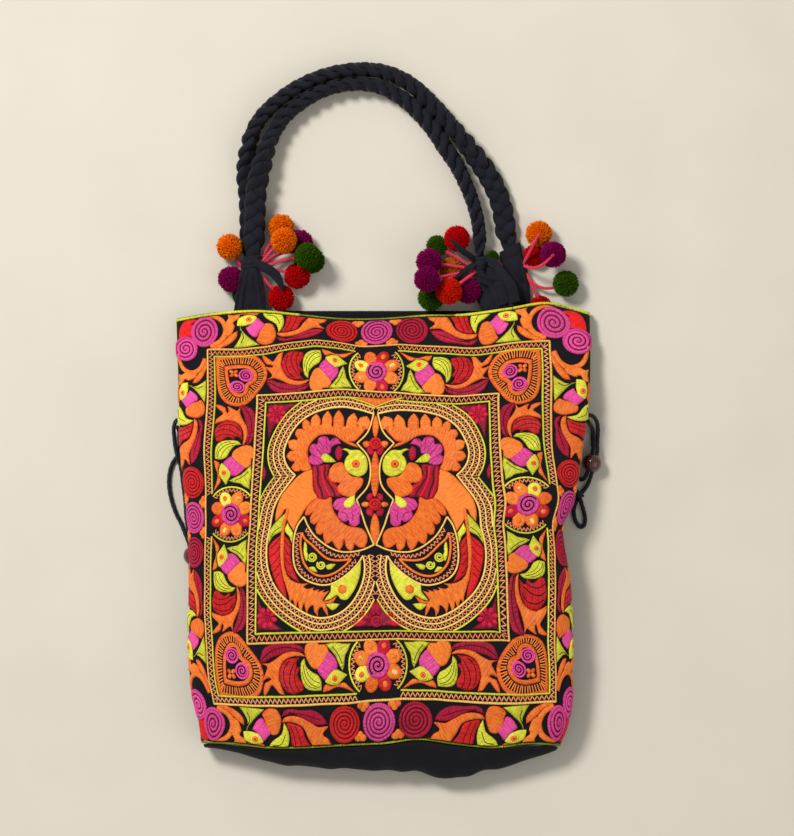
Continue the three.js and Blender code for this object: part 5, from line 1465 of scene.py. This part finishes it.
draw([
    ("crimson", 0, "195,105* 560,85* 430,180 330,290 250,410 208,540* 190,300"),
    ("crimson", 1, "150,842* 182,900 170,985 148,1020* 125,960 128,890"),
    ("orange", 1, "1180,548* 1240,545 1300,490 1360,420 1412,330 1300,350 1150,365 1000,365 850,345 740,340"
                  " 660,380 590,450 540,540 515,650 510,760 540,860 640,905 725,880 700,800 682,700 690,620"
                  " 740,540 810,480 900,463 1000,478 1090,538 1180,588 1290,625* 1250,580"),
    ("pink", 2, "1085,575* 1040,512 980,508 945,545 920,500 850,480 798,520 790,578 740,572 700,610 702,668"
                " 718,700 688,740 700,800 760,836 830,826 872,792 862,740 905,700 950,690 970,620 1030,585"),
    ("black", 3, "740,580 800,650 850,720", 0.5),
    ("black", 3, "800,528 850,600 880,680", 0.5),
    ("black", 3, "900,500 905,580 915,655", 0.5),
    ("black", 3, "1000,515 960,580 940,640", 0.5),
    ("black", 3, "700,690 770,720 830,762", 0.5),
    ("crimson", 2, "1052,598 1085,630 1098,690 1085,750 1052,782 1018,750 1004,690 1018,630"),
    ("lime", 3, "832,735* 880,688 935,710 1022,796* 930,802 860,790"),
    ("crimson", 1, "735,842* 830,830 945,828 922,930 960,1020 1030,1060 1062,1150 1092,1212* 1000,1216 960,1212"
                   " 880,1242 800,1222 750,1130 738,1000 725,920"),
    # the red bands on the crimson body are painted highlights, the sheen of its glossy satin
    ("red", 2, "765,865 760,950 775,1060 805,1160 835,1222", 2.2),
    ("red", 2, "848,845 855,950 880,1060 925,1160 955,1200", 2.2),
    ("red", 2, "925,960 955,1040 1020,1100 1055,1180", 2),
    ("dark", 2, "790,850 805,930 800,1030 835,1120 860,1220", 2.4),
    ("dark", 2, "890,850 880,960 930,1050 985,1140 1010,1205", 2.4),
    ("orange", 2, "940,880* 1000,816 1090,800 1140,870 1200,958 1290,975 1346,1000 1330,1080 1270,1150 1232,1212"
                  " 1150,1212 1060,1170 1030,1100 1060,1050 980,1040 930,980"),
    ("lime", 3, "1088,642* 1130,630 1200,650 1290,652 1368,720 1400,820 1380,920 1300,970 1200,945 1130,880"
                " 1118,800 1140,740 1172,700 1140,665"),
    ("lime", 4, "1110,1280 1180,1215 1245,1190* 1240,1290 1180,1345 1120,1330"),
    ("orange", 1, "1345,590 1372,556 1420,572 1425,600 1372,625"),
], upper, bothHalves)
eye = spotAt(1255, 820, upper)
stitchEye(eye, (6.6, 4.4, 1.6), 4, bothHalves, points=12)
for angle in np.radians(np.arange(15, 375, 30)):
    way = np.array([math.cos(angle), math.sin(angle)])
    ribbon("black", eye + np.outer([7, 8, 9.2], way), 0.45, 4, bothHalves, dome=0.3)
petals = [  # middle of the foot, tip, width
    (1345, 345, 1392, 240, 150), (1200, 365, 1235, 205, 132), (1050, 365, 1048, 172, 132), (905, 355, 920, 182, 124),
    (770, 345, 782, 215, 118), (665, 375, 648, 275, 100), (590, 455, 545, 398, 118), (535, 600, 440, 548, 128),
    (515, 720, 420, 722, 128), (560, 850, 478, 858, 110),
]
for baseX, baseY, tipX, tipY, wide in petals:
    base, tip = np.array([baseX, baseY], float), np.array([tipX, tipY], float)
    way = tip - base
    side = unit(way)[::-1] * [-1, 1] * wide / 2
    back = base - way * 0.25
    spots = [back - side, base - side, base + way * 0.5 - side * 0.95, base + way * 0.8 - side * 0.5, tip,
             base + way * 0.8 + side * 0.5, base + way * 0.5 + side * 0.95, base + side, back + side]
    text = " ".join(f"{x:.0f},{y:.0f}" + "*" * (n == 4) for n, (x, y) in enumerate(spots))
    patch("orange", drawnLine(text, upper), 1, bothHalves, tone=rng.uniform(-0.3, 0.5))

draw([
    ("crimson", 0, "72,1015* 130,1150 230,1280 365,1392* 70,1392*"),
    ("crimson", 0, "1368,1035* 1300,1150 1200,1250 1060,1345* 1368,1345*"),
    ("orange", 0, "594,-380* 520,-329 418,-218 334,-106 288,15 270,110 268,185* 340,110 385,40 400,160 440,230"
                  " 478,290* 505,215 560,120 620,20 700,-60 743,-88 697,-171 687,-292 683,-400"),
    ("orange", 1, "743,-88* 817,-69 892,-97 905,0 925,60 960,120 1010,180 1080,225 1170,240 1240,260 1290,320"
                  " 1295,400 1270,470* 1210,470 1152,430* 1140,480 1110,512* 1060,470 1036,380* 1020,450"
                  " 985,508* 930,450 905,398* 870,420 830,432* 808,380 800,310* 770,330 725,312* 715,250"
                  " 735,195* 700,215 660,192* 655,130 685,80* 640,110 600,110 620,20 700,-60"),
    ("pink", 2, "905,0* 940,50 975,60 960,110 1000,165 1050,185 1085,165 1095,215 1150,236 1205,200 1212,130"
                " 1225,60 1200,-10 1150,-60 1050,-90 950,-70"),
    ("dark", 3, "1010,70 1060,95 1075,140", 0.9),
    ("dark", 3, "1120,80 1135,130 1120,170", 0.9),
    ("lime", 1, "425,50* 320,140 230,240 195,330 195,425* 250,340 340,290 362,270 352,215 390,120"),
    ("black", 2, "335,235 260,290 215,360", 0.9),
    ("lime", 1, "405,190* 440,255 472,305* 455,425* 425,345 375,282"),
    ("red", 1, "345,318* 240,400 200,455 200,600 225,720 260,830 320,950 398,1042* 380,900 345,740 330,550"
               " 335,400"),
    ("red", 1, "372,330* 420,380 450,440 445,560 470,690 542,862* 470,820 400,760 370,640 360,480"),
    ("orange", 2, "398,20* 425,40 400,150 375,260 372,420 365,560 375,680 400,770 440,830 380,860 345,740"
                  " 325,600 322,440 335,300 360,150"),
    ("orange", 2, "365,720* 400,790 470,840 540,866 642,866* 590,905 620,925 702,910* 690,940 762,930* 745,955"
                  " 822,935* 800,965 872,945* 840,990 800,1060 860,1060 962,1000* 900,1090 830,1090* 850,1160"
                  " 862,1242* 810,1170 790,1130 752,1160 745,1242* 700,1170 690,1110 640,1150 625,1217* 600,1140"
                  " 590,1090 560,1182* 530,1130 520,1070 500,1152* 480,1100 460,1050 430,1092* 420,1010 395,930"
                  " 375,850"),
    ("lime", 2, "1225,622* 1160,680 1060,760 960,830 890,880 885,950 830,1030 812,1062* 880,1045 960,1000"
                " 1000,1042 1060,1052 1120,990 1180,880 1216,760"),
    ("lime", 2, "828,1098* 900,1084 988,1096* 960,1132 910,1166 868,1142"),
    ("lime", 1, "598,400 622,440 625,520 640,560 618,620 590,560 585,470"),
    ("lime", 1, "640,690* 700,680 742,742* 690,735"),
    ("lime", 1, "828,672* 870,650 945,650* 900,705 850,712"),
    ("crimson", 1, "1370,1050* 1410,1110 1405,1190 1370,1225 1335,1190 1330,1110"),
    ("crimson", 1, "1340,1250* 1250,1190 1200,1205* 1240,1260"),
    ("crimson", 1, "1310,1300* 1200,1270 1085,1340* 1220,1345"),
], lower, bothHalves)
for k in range(5):
    y = 400 + k * 95
    draw([("black", 2, f"322,{y - 40} 270,{y + 30} 215,{y + 80}", 0.8),
          ("black", 2, f"372,{y - 20} 410,{y + 40} 440,{y + 70}", 0.8)], lower, bothHalves)
patch("orange", circle(spotAt(1015, 930, lower), 4.4), 3, bothHalves)
for line, width in (
    ("590,125* 520,220 482,350 470,480 475,620 510,730 580,810 680,860 800,885 900,870 1010,810 1120,720 1200,632"
     " 1246,556", 1.7),
    ("590,125 630,220 700,330 790,410 900,480 1000,514 1120,516 1250,490 1370,436", 1.7),
    ("565,300* 552,400 556,500 590,640 660,730 750,780 850,780 950,740 1050,665 1112,598* 950,610 850,590 760,520"
     " 680,440 600,370 565,300", 2.2),
):
    ribbon("gold" if width < 2 else "orange", drawnLine(line, lower, closed=False), width, 2, bothHalves)
for line in ("530,300 512,400 512,560 540,690 620,785 740,832 850,835 960,790 1080,700 1170,610",
             "610,260 690,385 790,475 900,545 1000,566 1120,560 1210,535"):
    run = evenly(drawnLine(line, lower, closed=False), 1.3)
    ribbon("dark", run, 4, 0, bothHalves, dome=0.12)
    zigzag(run, 1.6, 4, "peach", 0.95, 1, bothHalves)
for x, y, radius, start in ((682, 572, 4.3, 3.6), (782, 662, 4.0, 2.4)):
    curl = woundLine(spotAt(x, y, lower), radius, radius * (1 - 1.9 / 2.35), 1.9, 46, start)
    ribbon("lime", curl, 1.5, 2, bothHalves, dome=0.6)
# the crimson flowers on the crimson ground get a painted highlight (tone 1.1) against its painted shade
for centre, view, turn in (((300, 215), upper, 10), ((175, 1245), lower, 30)):
    spot = spotAt(*centre, view)
    flower(["crimson"], spot, 6.6, 2.3, 8, 1, bothHalves, turn, 1.1)
    spiral("crimson", spot, 4.3, 1.8, bothHalves, level=2)
spot = spotAt(1368, 1290, lower) * [0, 1]
spiral("crimson", spot, 5.2, 2, level=2)
# Down the middle: slim spindles, and flowers between them
for middleX, y0, y1, view, half in ((1490, 232, 508, upper, 3.1), (1490, 655, 1225, upper, 4.2),
                                    (1370, 85, 432, lower, 4.2)):
    top, bottom = spotAt(middleX, y0, view)[1], spotAt(middleX, y1, view)[1]
    share = np.linspace(0, 1, 16)
    width = half * np.sin(share * math.pi) ** 0.6
    right = np.stack([width, mix(top, bottom, share)], axis=1)
    outline = np.vstack([right, right[-2:0:-1] * [-1, 1]])
    patch("orange", evenly(outline, 1.2, True), 1, angle=90)
for y, upperPetals in ((572, False), (1302, True)):
    spot = spotAt(1490, y, upper) * [0, 1]
    for side in (-1, 1):
        patch("crimson", circle(spot + [side * 4.6, -7.2], 3.4, 1.3, side * 60), 0)
        if upperPetals:
            patch("crimson", circle(spot + [side * 4.6, 7.2], 3.0, 1.3, -side * 60), 0)
        patch("orange", circle(spot + [side * 8.6, 0], 2.6, 1.4), 1)
    spiral("red", spot, 5.9, 2, level=2)
wholeView = (0, 0, 1)
cap = drawnLine("352,398.5* 364,398.3 376,398.8 388,398.3 400,398.5* 388,402 376,406.8* 364,402", wholeView)
patch("orange", cap, 3)
capEdge = drawnLine("350,398.5 364,402.4 376,407.2* 388,402.4 402,398.5", wholeView, closed=False)
ribbon("yellow", capEdge, 1.3, 3)
print("central field stitched")

for colour, parts in stitched.items():
    flat = np.vstack([p[0] for p in parts])
    height = np.concatenate([p[1] for p in parts])
    uv = np.vstack([p[3] for p in parts])
    tone = np.concatenate([p[4] for p in parts])
    faces, shift = [], 0
    for part in parts:
        faces += (part[2] + shift).tolist()
        shift += len(part[0])
    across, up = onPanel(flat)
    points = frontSurface.place(across, up, height)
    makePiece("stitches_" + colour, points, faces, threadColours[colour], uv, tone)
    print("thread", colour, len(faces))
